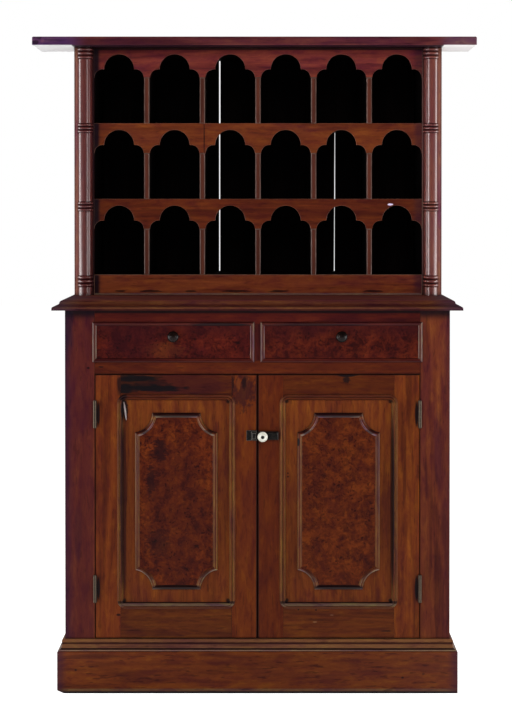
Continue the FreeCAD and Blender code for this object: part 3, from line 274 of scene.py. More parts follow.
def new_material(name, polish=0.5):
    """A material and its nodes, the inputs of its shader, and the object's own coordinates."""
    material = bpy.data.materials.new(name)
    tree = empty_tree(material)
    shader = add(tree, "ShaderNodeBsdfPrincipled", {"Specular IOR Level": polish})
    leaving = add(tree, "ShaderNodeOutputMaterial")
    join(tree, leaving.inputs[0], shader.outputs[0])
    place = add(tree, "ShaderNodeTexCoord").outputs["Object"]
    return material, tree, shader.inputs, place


def along_grain(tree, place, grain):
    """Turns coordinates so that the grain of a piece runs along the third axis.

    A frame of strips mitred at its corners is given by its middle and by how much taller than wide
    it is, halved; the skirting has its returns along the sides of the case.
    """
    x, y, z = axes(tree, place)[:3]
    orders = {"X": (z, y, x), "Y": (x, z, y), "Z": (x, y, z)}
    if grain in orders:
        return add(tree, "ShaderNodeCombineXYZ", dict(enumerate(orders[grain]))).outputs[0]
    across = calc(tree, "ABSOLUTE", x)
    if grain == "skirting":
        turn = calc(tree, "GREATER_THAN", calc(tree, "ADD", across, y), SKIRTING_MITRE)
        first, second = orders["X"], orders["Y"]
    else:
        middle_x, middle_z, taller = grain
        from_side = calc(tree, "ABSOLUTE", calc(tree, "SUBTRACT", across, middle_x))
        from_middle = calc(tree, "ABSOLUTE", calc(tree, "SUBTRACT", z, middle_z))
        turn = calc(tree, "GREATER_THAN", calc(tree, "SUBTRACT", from_middle, from_side), taller)
        first, second = orders["Z"], orders["X"]
    under = add(tree, "ShaderNodeCombineXYZ", dict(enumerate(first))).outputs[0]
    over = add(tree, "ShaderNodeCombineXYZ", dict(enumerate(second))).outputs[0]
    return add(tree, "ShaderNodeMix", {0: turn, 4: under, 5: over}, data_type="VECTOR").outputs[1]


def washed(tree, colour, place, washes):
    """Lays soft bands of colour over a piece, for stains and tone and for painted light and shade: each (axis,
    from, to, colour, strength).

    A band goes by place, by place on the underside only, or by the way the surface faces.
    """
    for axis, start, end, over, strength in washes:
        parts = outward(tree) if axis.startswith("facing") else axes(tree, place)
        reach = parts["XYZ".index(axis[-1])]
        if "both" in axis:
            reach = calc(tree, "ABSOLUTE", reach)
        share = spread(tree, reach, start, end, 0.0, strength)
        if axis.startswith("under"):
            share = calc(tree, "MULTIPLY", share, spread(tree, outward(tree)[2], -0.4, -0.8))
        colour = tint(tree, share, colour, (*over, 1))
    return colour


def patched(tree, colour, place, marks):
    """Lays knots, stains, chips, painted shadows and painted highlights over a colour."""
    for centre, reach, ragged, fray, over, strength in marks:
        spot = {"Place": place, "Centre": centre, "Reach": reach, "Ragged": ragged, "Fray": fray}
        share = calc(tree, "MULTIPLY", use_group(tree, PATCH, spot)["Mask"], strength)
        colour = tint(tree, share, colour, over)
    return colour


def tones(middle, contrast):
    """The shadowed, middle and light colours of a wood."""
    red, green, blue = middle
    dark = (red * (1 - 0.42 * contrast), green * (1 - 0.5 * contrast), blue * (1 - 0.35 * contrast))
    light = (red * (1 + 0.5 * contrast), green * (1 + 0.75 * contrast), blue * (1 + 0.5 * contrast))
    return dark, middle, light


def cedar(
    name, tone, grain, seed, gloss=0.40, coat=0.0, coat_gloss=0.22, contrast=1.0, cloudy=0.55, mottled=0.6,
    flecked=0.5, dirt_and_shade=0.8, relief=0.22, dusty=0.0, grooved=False, washes=(), marks=(),
):
    """Polished red cedar of one middle tone; dust dulls what faces up, and turned grooves lose their coat."""
    material, tree, shader, place = new_material(name, polish=0.075)
    wood = use_group(tree, GRAIN, {"Place": along_grain(tree, place, grain), "Seed": seed})
    dark, middle, light = tones(tone, contrast)
    colour = ramp(tree, wood["Figure"], [(0.15, dark), (0.88, light), (0.5, middle)])
    bare = [wash for wash in washes if wash[0].startswith("under")]
    colour = washed(tree, colour, place, [wash for wash in washes if wash not in bare])
    colour = patched(tree, colour, place, marks)
    colour = glazed(tree, colour, [
        (spread(tree, wood["Cloud"], 0.5, 0.68, 0.0, cloudy), (0.54, 0.33, 1.25)),
        (spread(tree, wood["Figure"], 0.50, 0.20, 0.0, 0.5), (0.62, 0.55, 0.70)),
        (spread(tree, wood["Mottle"], 0.50, 0.66, 0.0, mottled), (0.58, 0.36, 1.00)),
        (spread(tree, wood["Mottle"], 0.48, 0.34, 0.0, mottled), (1.36, 1.76, 1.10)),
        (calc(tree, "MULTIPLY", wood["Flecks"], flecked), (0.40, 0.30, 0.45)),
        (calc(tree, "MULTIPLY", wood["Pores"], 0.4), (0.45, 0.4, 0.45)),
    ])
    colour = washed(tree, colour, place, bare)
    # corners and quirks darkened by soiling and by painted shade
    dirt_shaded = use_group(tree, CORNER_DIRT_AND_SHADE, {"Colour": colour, "Place": place, "Strength": dirt_and_shade})
    join(tree, shader["Base Color"], dirt_shaded["Colour"])
    rough = calc(tree, "MULTIPLY_ADD", wood["Fibre"], 0.2, gloss - 0.1)
    if dusty:
        rough = calc(tree, "MULTIPLY_ADD", spread(tree, outward(tree)[2], 0.6, 0.9), dusty, rough)
    join(tree, shader["Roughness"], calc(tree, "MULTIPLY_ADD", dirt_shaded["Mask"], 0.25, rough, clamp=True))
    height = calc(tree, "MULTIPLY_ADD", wood["Figure"], 0.4, calc(tree, "MULTIPLY", wood["Fibre"], 0.6))
    raised(tree, shader, height, relief, 0.0005)
    shader["Coat Weight"].default_value = coat
    if grooved:
        slope = calc(tree, "ABSOLUTE", outward(tree)[2])
        join(tree, shader["Coat Weight"], spread(tree, slope, 0.12, 0.42, coat, 0.0))
    shader["Coat Roughness"].default_value = coat_gloss
    return material


def burl(name, tone, seed, contrast=1.45, washes=(), marks=()):
    """Burl veneer under polish."""
    material, tree, shader, place = new_material(name, polish=0.07)
    wood = use_group(tree, BURL, {"Place": place, "Seed": seed})
    dark, middle, light = tones(tone, contrast)
    colour = ramp(tree, wood["Figure"], [(0.32, dark), (0.72, light), (0.5, middle)])
    colour = patched(tree, washed(tree, colour, place, washes), place, marks)
    colour = glazed(tree, colour, [
        (spread(tree, wood["Cloud"], 0.49, 0.62, 0.0, 0.7), (0.50, 0.36, 0.85)),
        (spread(tree, wood["Cloud"], 0.47, 0.36, 0.0, 0.6), (1.35, 1.65, 1.10)),
        (calc(tree, "MULTIPLY", wood["Eyes"], 0.85), (0.26, 0.20, 0.45)),
    ])
    # corners and quirks darkened by soiling and by painted shade
    dirt_shaded = use_group(tree, CORNER_DIRT_AND_SHADE, {"Colour": colour, "Place": place, "Strength": 0.7})
    join(tree, shader["Base Color"], dirt_shaded["Colour"])
    join(tree, shader["Roughness"], calc(tree, "MULTIPLY_ADD", wood["Figure"], 0.18, 0.3))
    raised(tree, shader, wood["Figure"], 0.15, 0.0004)
    return material


def near_black_inside(name, seed, grain, front=None, back=None, top=None):
    """Near-black carcass wood.

    Its first few millimetres behind a front are polished cedar, and its skin at a back or a top is raw.
    """
    material, tree, shader, place = new_material(name, polish=0.04)
    wood = use_group(tree, GRAIN, {"Place": along_grain(tree, place, grain), "Seed": seed})
    colour = ramp(tree, wood["Figure"], [(0.1, (0.0010, 0.0007, 0.0010)), (0.9, (0.0036, 0.0022, 0.0020))])
    depth, height = axes(tree, place)[1:]
    if front is not None:
        edge = ramp(tree, wood["Figure"], [(0.1, (0.036, 0.0100, 0.0072)), (0.9, (0.110, 0.0300, 0.0180))])
        colour = tint(tree, spread(tree, depth, front, front + 0.004, 1.0, 0.0), colour, edge)
    for along, end in ((depth, back), (height, top)):
        if end is not None:
            raw = ramp(tree, wood["Figure"], [(0.1, (0.030, 0.0130, 0.0075)), (0.9, (0.090, 0.0430, 0.0230))])
            colour = tint(tree, spread(tree, along, end - 0.002, end - 0.001), colour, raw)
    join(tree, shader["Base Color"], colour)
    join(tree, shader["Roughness"], calc(tree, "MULTIPLY_ADD", wood["Fibre"], 0.2, 0.62))
    raised(tree, shader, wood["Fibre"], 0.4, 0.0006)
    return material


def raw_boards(name, seed, grain):
    """Unpolished boards of the back, the drawers and the cupboard's inside."""
    material, tree, shader, place = new_material(name, polish=0.12)
    wood = use_group(tree, GRAIN, {"Place": along_grain(tree, place, grain), "Seed": seed})
    colour = ramp(tree, wood["Figure"], [(0.1, (0.032, 0.0140, 0.0080)), (0.9, (0.100, 0.0480, 0.0260))])
    colour = tint(tree, spread(tree, wood["Cloud"], 0.5, 0.7, 0.0, 0.4), colour, (0.020, 0.010, 0.007, 1))
    # corners and quirks darkened by soiling and by painted shade
    dirt_shaded = use_group(tree, CORNER_DIRT_AND_SHADE, {"Colour": colour, "Place": place, "Strength": 0.7})
    join(tree, shader["Base Color"], dirt_shaded["Colour"])
    join(tree, shader["Roughness"], calc(tree, "MULTIPLY_ADD", wood["Fibre"], 0.2, 0.62))
    raised(tree, shader, wood["Fibre"], 0.5, 0.0008)
    return material


def worn_and_highlit_arris(name, light, dark, polish=0.3):
    """Bevelled edges in a rubbed mix of two colours: on the paler ones, polish worn to paler wood and a painted
    highlight along the edge; the dark one darkens the edges.
    """
    material, tree, shader, place = new_material(name, polish)
    rubbed = noise(tree, stretched(tree, place, (45, 45, 45)), 4.0, 0.65)
    join(tree, shader["Base Color"], ramp(tree, rubbed, [(0.3, dark), (0.72, light)]))
    join(tree, shader["Roughness"], calc(tree, "MULTIPLY_ADD", rubbed, 0.3, 0.2))
    return material


def iron(name, tone, worn, polish=0.10, washes=()):
    """Old japanned iron, rubbed in places and lightly rusted."""
    material, tree, shader, place = new_material(name, polish)
    rubbed = noise(tree, stretched(tree, place, (160, 160, 160)), 4.0, 0.6)
    rust = noise(tree, stretched(tree, place, (420, 420, 420)), 3.0, 0.6)
    colour = ramp(tree, rubbed, [(0.45, tone), (0.78, worn)])
    colour = tint(tree, spread(tree, rust, 0.58, 0.72, 0.0, 0.4), colour, (0.030, 0.010, 0.005, 1))
    join(tree, shader["Base Color"], washed(tree, colour, place, washes))
    join(tree, shader["Metallic"], spread(tree, rubbed, 0.45, 0.75, 0.1, 0.6))
    join(tree, shader["Roughness"], calc(tree, "MULTIPLY_ADD", rust, 0.3, 0.34))
    raised(tree, shader, rust, 0.3, 0.0003)
    return material


def porcelain():
    """White glazed porcelain, a little grey at the crazing and round the screw."""
    material, tree, shader, place = new_material("white_porcelain")
    crazing = add(
        tree,
        "ShaderNodeTexVoronoi",
        {"Vector": stretched(tree, place, (420, 420, 420)), "Scale": 1.0},
        feature="DISTANCE_TO_EDGE",
    ).outputs[0]
    cloud = noise(tree, stretched(tree, place, (120, 120, 120)), 3.0)
    colour = ramp(tree, cloud, [(0.3, (0.62, 0.60, 0.50)), (0.7, (0.80, 0.79, 0.70))])
    colour = tint(tree, spread(tree, crazing, 0.0, 0.03, 0.25, 0.0), colour, (0.30, 0.26, 0.20, 1))
    screw = mark(LATCH_X, LATCH_Z, 0.0058, 0.0058, (0.06, 0.055, 0.045), 0.85, 0.2, plane=KNOB_FACE)
    join(tree, shader["Base Color"], patched(tree, colour, place, [screw]))
    join(tree, shader["Roughness"], calc(tree, "MULTIPLY_ADD", cloud, 0.1, 0.08))
    return material


def dark_turned_wood():
    """Ebonised turned knobs, dulled by handling."""
    material, tree, shader, place = new_material("ebonised_knob", polish=0.12)
    wood = use_group(tree, GRAIN, {"Place": place, "Seed": 4.0})
    colour = ramp(tree, wood["Figure"], [(0.1, (0.0024, 0.0015, 0.0015)), (0.9, (0.0100, 0.0042, 0.0030))])
    join(tree, shader["Base Color"], colour)
    join(tree, shader["Roughness"], calc(tree, "MULTIPLY_ADD", wood["Fibre"], 0.15, 0.16))
    return material


# Finishes of the pieces

# edge colours: worn polish and painted highlights along the arrises, and darker edges
ARRIS = worn_and_highlit_arris("worn_and_highlit_arris", (0.200, 0.095, 0.060), (0.080, 0.030, 0.018))
DULL_ARRIS = worn_and_highlit_arris("dull_arris", (0.115, 0.045, 0.026), (0.050, 0.016, 0.010))
DARK_ARRIS = worn_and_highlit_arris("dark_arris", (0.040, 0.0085, 0.0040), (0.016, 0.0036, 0.0026), 0.03)
SHELF_ARRIS = worn_and_highlit_arris("divider_arris", (0.120, 0.070, 0.055), (0.050, 0.022, 0.016))
IRON = iron("old_iron", (0.0036, 0.0032, 0.0032), (0.022, 0.019, 0.016))
# paler iron on the chamfers of the latch and the keeper: wear, and a painted highlight along them
IRON_EDGE = iron("rubbed_and_highlit_iron_edge", (0.060, 0.054, 0.048), (0.200, 0.180, 0.150), 0.3)
# painted highlights down each hinge barrel, with painted shade between them
hinge_barrel_highlights = [
    ("both X", 0.4284, 0.4292, PAINTED_IRON_HIGHLIGHT, 0.8), ("both X", 0.4308, 0.4314, BLACK_STAIN_AND_SHADOW, 0.9),
    ("both X", 0.4328, 0.4336, PAINTED_IRON_HIGHLIGHT, 0.8), ("both X", 0.4352, 0.4360, BLACK_STAIN_AND_SHADOW, 0.8),
]
HINGE_IRON = iron("hinge_iron", (0.012, 0.010, 0.009), (0.050, 0.042, 0.034), washes=hinge_barrel_highlights)
INSIDE_UP = near_black_inside("near_black_uprights", 3.0, "Z")
INSIDE_ACROSS = near_black_inside("near_black_shelves", 5.0, "X", top=1.736)
HUTCH_BACK = near_black_inside("hutch_back", 6.5, "Z", back=BACK)
DIVIDER = near_black_inside("divider_edges", 8.0, "Z", -0.0015)
BACK_WOOD = raw_boards("back_boards", 2.0, "Z")
DRAWER_WOOD = raw_boards("drawer_boards", 6.0, "Y")
SHELF_WOOD = raw_boards("shelf_boards", 9.0, "X")

STILE = cedar(
    "case_stile", (0.104, 0.0210, 0.0082), "Z", 1.3, cloudy=0.6,
    washes=[
        ("X", -0.43, -0.44, (0.064, 0.0090, 0.0094), 0.8), ("both X", 0.475, 0.514, (0.058, 0.0095, 0.0150), 0.5),
        ("X", -0.488, -0.512, (0.030, 0.0064, 0.0190), 0.75),
        # painted shadow under the counter's overhang
        ("Z", 0.985, 1.010, PAINTED_SHADOW_NAVY, 0.9),
    ],
    marks=[
        mark(-0.450, 0.862, 0.0044, 0.0034),
        # painted shadow fading down the top-left corner under the counter
        mark(-0.503, 0.965, 0.016, 0.085, (0.008, 0.0050, 0.0160), 0.5, 2.4, TALL_FRAY),
        mark(-0.478, 0.420, 0.012, 0.090, PURPLE_STAIN, 0.5, 1.4, TALL_FRAY),
        mark(0.480, 0.640, 0.012, 0.120, PURPLE_STAIN, 0.4, 1.4, TALL_FRAY),
    ],
)
SIDE = cedar("case_side", (0.088, 0.0150, 0.0110), "Z", 4.7)
# the black band at the top is painted shadow under the counter
TOP_RAIL = cedar("top_rail", (0.056, 0.0054, 0.0036), "X", 2.1, washes=[("Z", 1.0045, 1.0100, BLACK_STAIN_AND_SHADOW, 0.9)])
DRAWER_RAIL = cedar(
    "drawer_rail", (0.064, 0.0096, 0.0028), "X", 6.4,
    marks=[mark(-0.416, 0.8645, 0.0085, 0.0022)],
)
DIVIDER_POST = cedar("drawer_divider", (0.062, 0.0080, 0.0055), "Z", 7.7)
PLINTH = cedar(
    "plinth", (0.092, 0.0180, 0.0036), "skirting", 8.2, cloudy=0.6, mottled=0.7, flecked=0.8,
    washes=[
        ("X", -0.1, 0.3, (0.100, 0.0225, 0.0054), 0.6),
        # a paler band along the bottom arris is painted light from the floor, and the black below it is painted
        # shadow under the plinth
        ("Z", 0.0140, 0.0105, (0.115, 0.0580, 0.0270), 0.8), ("Z", 0.0075, 0.0045, BLACK_STAIN_AND_SHADOW, 0.95),
        ("both X", 0.500, 0.528, (0.040, 0.0080, 0.0140), 0.75),
    ],
    marks=[
        mark(-0.482, 0.062, 0.004, 0.003, plane=PLINTH_FACE), mark(0.385, 0.042, 0.004, 0.003, plane=PLINTH_FACE),
        mark(0.440, 0.052, 0.004, 0.003, strength=0.6, plane=PLINTH_FACE),
    ],
)
PLINTH_MOULD = cedar(
    "plinth_moulding", (0.128, 0.0490, 0.0220), "skirting", 3.8, gloss=0.5, cloudy=0.35, mottled=0.4,
    washes=[
        # paler bands on the bead and the lower arris: wear and a painted highlight
        ("Z", 0.1312, 0.1324, (0.165, 0.0660, 0.0250), 0.8),
        ("Z", 0.1140, 0.1130, (0.250, 0.1700, 0.1200), 0.8),
    ],
    marks=[
        # painted shade in the grooves of the moulding
        mark(0, 0.1292, 2.0, 0.0030, (0.036, 0.0064, 0.0050), 0.85, 0.2, plane=PLINTH_MOULD_FACE),
        mark(0, 0.1158, 2.0, 0.0022, BLACK_STAIN_AND_SHADOW, 0.9, 0.2, plane=PLINTH_MOULD_FACE),
    ],
)
COUNTER = cedar(
    "counter_top", (0.078, 0.0210, 0.0085), "X", 9.6, dirt_and_shade=0.25, gloss=0.36, relief=0.12, dusty=0.45,
    washes=[
        # the upward face lighter as a painted sheen; down the moulded front edge, darker wood, a painted highlight
        # on its lower round and painted shadow below it
        ("facing Z", 0.6, 0.9, (0.112, 0.0237, 0.0167), 0.75), ("Z", 1.0325, 1.0312, (0.045, 0.0085, 0.0038), 0.85),
        ("Z", 1.0268, 1.0258, (0.092, 0.0290, 0.0130), 0.9), ("Z", 1.0215, 1.0205, (0.030, 0.0046, 0.0040), 0.9),
        ("both X", 0.45, 0.535, (0.045, 0.0200, 0.0320), 0.8),
    ],
)
POST = cedar(
    "hutch_post", (0.106, 0.0168, 0.0082), "Z", 11.2, dirt_and_shade=0.5, mottled=0.3,
    washes=[
        # painted highlight on the post's outer strip, softer at its outer arris
        ("both X", 0.5010, 0.5040, (0.270, 0.1080, 0.0780), 0.9),
        ("both X", 0.5095, 0.5115, (0.110, 0.0420, 0.0380), 0.8),
        # painted shadow beside the column
        ("both X", 0.4660, 0.4625, PAINTED_SHADOW_NAVY, 0.9),
    ],
    # painted highlight down the inner edge of the post
    marks=[mark(0.4612, 1.39, 0.0016, 0.42, (0.110, 0.0600, 0.0520), 0.9, 0.1, TALL_FRAY, RACK)],
)
COLUMN = cedar(
    "turned_column", (0.080, 0.0140, 0.0122), "Z", 12.9, gloss=0.36, coat=1.0, coat_gloss=0.28, contrast=0.5,
    cloudy=0.3, mottled=0.3, dirt_and_shade=0.9, relief=0.01, grooved=True,
    washes=[
        ("X", 0.3, 0.45, (0.130, 0.0300, 0.0210), 0.8),
        # painted shade on the up- and down-facing faces of the rings
        ("facing both Z", 0.25, 0.60, (0.010, 0.0026, 0.0040), 0.85),
    ],
)
# painted shadow of the columns on the ends of the valances and the base rail
rack_end_shadows = [("X", -0.4390, -0.4500, PAINTED_SHADOW_NAVY, 0.95), ("X", 0.4300, 0.4480, (0.046, 0.0120, 0.0130), 0.7)]
UPPER_VALANCE = cedar(
    "upper_valance", (0.118, 0.0190, 0.0152), "X", 14.1,
    # painted shadow under the cornice along the top edge
    washes=rack_end_shadows + [("Z", 1.7275, 1.7305, BLACK_STAIN_AND_SHADOW, 0.9)],
)
MIDDLE_VALANCE = cedar(
    "middle_valance", (0.108, 0.0222, 0.0064), "X", 15.3, washes=rack_end_shadows,
    marks=[mark(-0.1508, 1.48, 0.0018, 0.06, BLACK_STAIN_AND_SHADOW, 0.9, 0.2, plane=RACK)],
)
LOWER_VALANCE = cedar(
    "lower_valance", (0.080, 0.0134, 0.0043), "X", 16.8, washes=rack_end_shadows,
    marks=[mark(0.371, 1.2965, 0.0085, 0.0036, (0.85, 0.82, 0.74), 1.0, 0.6, plane=RACK)],
)
BASE_RAIL = cedar(
    "base_rail", (0.122, 0.0245, 0.0082), "X", 17.4,
    washes=rack_end_shadows + [("Z", 1.0490, 1.0465, (0.150, 0.0900, 0.0720), 0.8)],
    marks=[
        mark(x, 1.0535, half, 0.0040, BLACK_STAIN_AND_SHADOW, 0.8, 1.8, (40, 60, 240), RACK)
        for x, half in (
            (-0.385, 0.020), (-0.300, 0.034), (-0.190, 0.020), (-0.060, 0.045), (0.055, 0.030), (0.320, 0.034)
        )
    ],
)
CORNICE = cedar(
    "cornice", (0.094, 0.0195, 0.0205), "X", 18.8, dusty=0.5,
    washes=[
        ("X", -0.465, -0.535, (0.080, 0.0310, 0.0940), 0.85), ("X", 0.49, 0.54, (0.110, 0.0480, 0.0660), 0.8),
        # painted shade on the faces that look down
        ("facing Z", -0.4, -0.8, (0.016, 0.0060, 0.0110), 0.9),
        ("under X", -0.512, -0.517, (0.72, 0.73, 0.73), 1.0), ("under X", 0.512, 0.517, (0.86, 0.85, 0.84), 1.0),
    ],
    marks=[
        mark(-0.560, 1.751, 0.040, 0.0040, (0.034, 0.0100, 0.0420), 0.6, 2.0, LONG_FRAY, CORNICE_FACE),
        # painted highlight on the notch at the left end
        mark(-0.595, 1.749, 0.006, 0.0050, (0.150, 0.0540, 0.1000), 0.6, 1.4, plane=CORNICE_FACE),
        mark(-0.616, 1.744, 0.011, 0.0080, BLACK_STAIN_AND_SHADOW, 0.7, 1.6, plane=CORNICE_FACE),
        mark(-0.606, 1.757, 0.010, 0.0050, BLACK_STAIN_AND_SHADOW, 0.6, 1.6, plane=CORNICE_FACE),
    ],
)
# painted shadow along the doors' top edge and their meeting edge
door_gap_shadows = [("Z", 0.8410, 0.8432, BLACK_STAIN_AND_SHADOW, 0.9), ("both X", 0.0056, 0.0024, BLACK_STAIN_AND_SHADOW, 0.8)]
# darker top rails, and the same painted shadow along the doors' top edge
top_rails = [("Z", 0.70, 0.79, (0.062, 0.0105, 0.0022), 0.8), ("Z", 0.8410, 0.8432, BLACK_STAIN_AND_SHADOW, 0.9)]
# painted shadow of each hinge barrel on the door stile
hinge_barrel_shadows = [
    mark(side * 0.4235, level, 0.0052, 0.0385, BLACK_STAIN_AND_SHADOW, 0.95, 0.15)
    for side in (-1, 1) for level in (0.274, 0.739)
]
LEFT_STILES = cedar(
    "left_door_stiles", (0.120, 0.0228, 0.0048), "Z", 20.3,
    washes=[("X", -0.10, -0.07, (0.096, 0.0168, 0.0028), 0.7)] + door_gap_shadows,
    marks=hinge_barrel_shadows + [
        mark(-0.3705, 0.2030, 0.0065, 0.0040),
        mark(-0.036, 0.799, 0.038, 0.050, (0.024, 0.0044, 0.0054), 0.75, 2.2, (70, 60, 60)),
        mark(-0.066, 0.818, 0.0070, 0.030, KNOT_BROWN, 0.85, 2.0, KNOT_FRAY),
        mark(-0.035, 0.822, 0.0075, 0.024, KNOT_BROWN, 0.85, 2.0, KNOT_FRAY),
        mark(-0.051, 0.818, 0.0060, 0.018, (0.150, 0.0340, 0.0070), 0.6, 1.6, KNOT_FRAY),
        mark(-0.365, 0.815, 0.012, 0.034, BLACK_STAIN_AND_SHADOW, 0.85, 1.2, TALL_FRAY),
    ],
)
RIGHT_STILES = cedar(
    "right_door_stiles", (0.132, 0.0275, 0.0052), "Z", 22.9,
    washes=[("X", 0.10, 0.07, (0.070, 0.0094, 0.0020), 0.8)] + door_gap_shadows, marks=hinge_barrel_shadows,
)
LEFT_RAILS = cedar("left_door_rails", (0.078, 0.0165, 0.0032), "X", 24.6, washes=top_rails, marks=[
    mark(-0.190, 0.815, 0.150, 0.038, (0.036, 0.0045, 0.0045), 0.75, 1.0, LONG_FRAY),
    mark(-0.315, 0.821, 0.085, 0.026, BLACK_STAIN_AND_SHADOW, 0.6, 2.2, (40, 60, 130)),
    mark(-0.330, 0.833, 0.075, 0.011, BLACK_STAIN_AND_SHADOW, 0.97, 1.6, STREAK_FRAY),
    mark(-0.275, 0.808, 0.085, 0.011, BLACK_STAIN_AND_SHADOW, 0.97, 1.6, STREAK_FRAY),
    mark(-0.245, 0.7850, 0.110, 0.0035, BLACK_STAIN_AND_SHADOW, 0.8, 0.8, LONG_FRAY),
    mark(-0.352, 0.806, 0.026, 0.016, BLACK_STAIN_AND_SHADOW, 0.97, 1.0, LONG_FRAY),
])
RIGHT_RAILS = cedar("right_door_rails", (0.086, 0.0180, 0.0036), "X", 26.1, washes=top_rails, marks=[
    mark(0.238, 0.8440, 0.036, 0.0075, BLACK_STAIN_AND_SHADOW, 0.95, 0.6),
    mark(0.237, 0.831, 0.011, 0.012, BLACK_STAIN_AND_SHADOW, 0.85, 1.4),
    mark(0.109, 0.217, 0.0032, 0.0026), mark(0.1558, 0.216, 0.0032, 0.0026),
    mark(0.343, 0.160, 0.018, 0.0028, BLACK_STAIN_AND_SHADOW, 0.7, 1.0, LONG_FRAY),
    mark(0.153, 0.184, 0.007, 0.0014, BARE_WOOD, 0.6, 0.6, LONG_FRAY),
    mark(0.198, 0.2027, 0.006, 0.0014, BARE_WOOD, 0.5, 0.6, LONG_FRAY),
])
# painted shadow in the inner corners of the panel mouldings
quirk_corner_shadows = [
    mark(side * x, z, 0.0062, 0.0062, BLACK_STAIN_AND_SHADOW, 0.85, 0.8)
    for side in (-1, 1) for x in (0.0785, 0.3540) for z in (0.2400, 0.7712)
]
LEFT_PANEL = cedar("left_door_panel", (0.128, 0.0280, 0.0054), "Z", 28.4, contrast=0.65, marks=quirk_corner_shadows + [
    # painted shadow cast by the moulding along the panel's side
    mark(-0.3550, DOOR_Z, 0.0080, 0.290, (0.024, 0.0040, 0.0040), 0.75, 1.0, TALL_FRAY),
    # painted shade in the chip beside the splinter
    mark(-0.3515, 0.747, 0.0085, 0.032, BLACK_STAIN_AND_SHADOW, 0.95, 0.6),
])
RIGHT_PANEL = cedar("right_door_panel", (0.128, 0.0280, 0.0054), "Z", 29.6, contrast=0.65, marks=quirk_corner_shadows + [
    mark(0.0813, 0.580, 0.0030, 0.0030), mark(0.0813, 0.571, 0.0030, 0.0030),
    # painted shadow cast by the moulding along the panel's side
    mark(0.3575, DOOR_Z, 0.0046, 0.290, (0.024, 0.0040, 0.0030), 0.7, 1.0, TALL_FRAY),
])
door_frame, cartouche_frame = (DOOR_X, DOOR_Z, 0.12875), (DOOR_X, DOOR_Z, 0.1255)
lip_frame = (0.2235, 0.9305, -0.1615)
# painted highlight on the slopes that face the sides, painted shade on those that face up
side_highlight_and_top_shade = [
    ("facing both X", 0.2, 0.5, (0.172, 0.0720, 0.0180), 0.75),
    ("facing Z", 0.2, 0.5, (0.022, 0.0040, 0.0036), 0.7),
]
# darker along the top as painted shade; at the bottom a band of painted shade, a painted highlight below it and
# darker wood at the foot
moulding_end_light_and_shade = [
    ("Z", 0.766, 0.772, (0.062, 0.0125, 0.0034), 0.6), ("Z", 0.2420, 0.2390, BLACK_STAIN_AND_SHADOW, 0.8),
    ("Z", 0.2346, 0.2330, (0.160, 0.1000, 0.0580), 0.75), ("Z", 0.2270, 0.2258, (0.076, 0.0150, 0.0034), 0.85),
]
RIGHT_MOULDING = cedar(
    "right_panel_moulding", (0.086, 0.0150, 0.0048), door_frame, 30.0, gloss=0.34, coat=0.05, dirt_and_shade=1.0,
    washes=side_highlight_and_top_shade + moulding_end_light_and_shade,
    # painted shade in the quirk along the moulding's inner side
    marks=quirk_corner_shadows + [mark(0.3600, DOOR_Z, 0.0052, 0.285, BLACK_STAIN_AND_SHADOW, 0.9, 0.2, TALL_FRAY)],
)
LEFT_MOULDING = cedar(
    "left_panel_moulding", (0.086, 0.0150, 0.0048), door_frame, 31.0, gloss=0.34, coat=0.05, dirt_and_shade=1.0,
    washes=side_highlight_and_top_shade + moulding_end_light_and_shade,
    # painted shade in the quirk along the inner side, in the top corner and in the chip by the splinter
    marks=quirk_corner_shadows + [
        mark(-0.3600, DOOR_Z, 0.0060, 0.285, (0.014, 0.0034, 0.0046), 0.9, 0.3, TALL_FRAY),
        mark(-0.3590, 0.7860, 0.0150, 0.0130, BLACK_STAIN_AND_SHADOW, 0.85, 0.8),
        mark(-0.3560, 0.749, 0.0090, 0.036, BLACK_STAIN_AND_SHADOW, 1.0, 0.4),
    ],
)
# painted shadow along the top and bottom edges of the cartouche and in its corners
cartouche_shadows = [
    mark(side * 0.216, z, 0.088, 0.0092, BLACK_STAIN_AND_SHADOW, strength, 0.4, LONG_FRAY)
    for side in (-1, 1) for z, strength in ((0.2760, 0.9), (0.7360, 0.84))
] + [
    mark(side * x, 0.6910, 0.0170, 0.0085, BLACK_STAIN_AND_SHADOW, 0.65, 0.8) for side in (-1, 1) for x in (0.130, 0.300)
] + [
    mark(side * x, 0.2980, 0.0240, 0.0280, (0.030, 0.0062, 0.0040), 0.55, 0.8)
    for side in (-1, 1) for x in (0.136, 0.296)
]
CARTOUCHE = cedar(
    "cartouche", (0.090, 0.0180, 0.0060), cartouche_frame, 33.0, gloss=0.32, coat=0.08, dirt_and_shade=1.0,
    # the faces that look down are lighter as a painted highlight
    washes=side_highlight_and_top_shade + [("facing Z", -0.10, -0.38, (0.270, 0.1950, 0.1500), 0.68)],
    marks=cartouche_shadows + [mark(0.1085, 0.664, 0.0050, 0.013, BLACK_STAIN_AND_SHADOW, 0.95, 0.6)],
)
LIP = cedar(
    "drawer_lip", (0.058, 0.0075, 0.0048), lip_frame, 35.0, gloss=0.34, coat=0.12, dirt_and_shade=1.0,
    # painted highlight on the faces that look to the sides, painted shade on those that look up and down
    washes=[
        ("facing both X", 0.2, 0.5, (0.170, 0.1100, 0.0840), 0.85),
        ("facing both Z", 0.2, 0.5, (0.026, 0.0040, 0.0036), 0.75),
    ],
    # painted shade along the top of the lip
    marks=[
        mark(-0.101, 0.977, 0.088, 0.0060, BLACK_STAIN_AND_SHADOW, 0.85, 0.8, LONG_FRAY),
        mark(0.150, 0.977, 0.150, 0.0045, BLACK_STAIN_AND_SHADOW, 0.65, 0.8, LONG_FRAY),
    ],
)
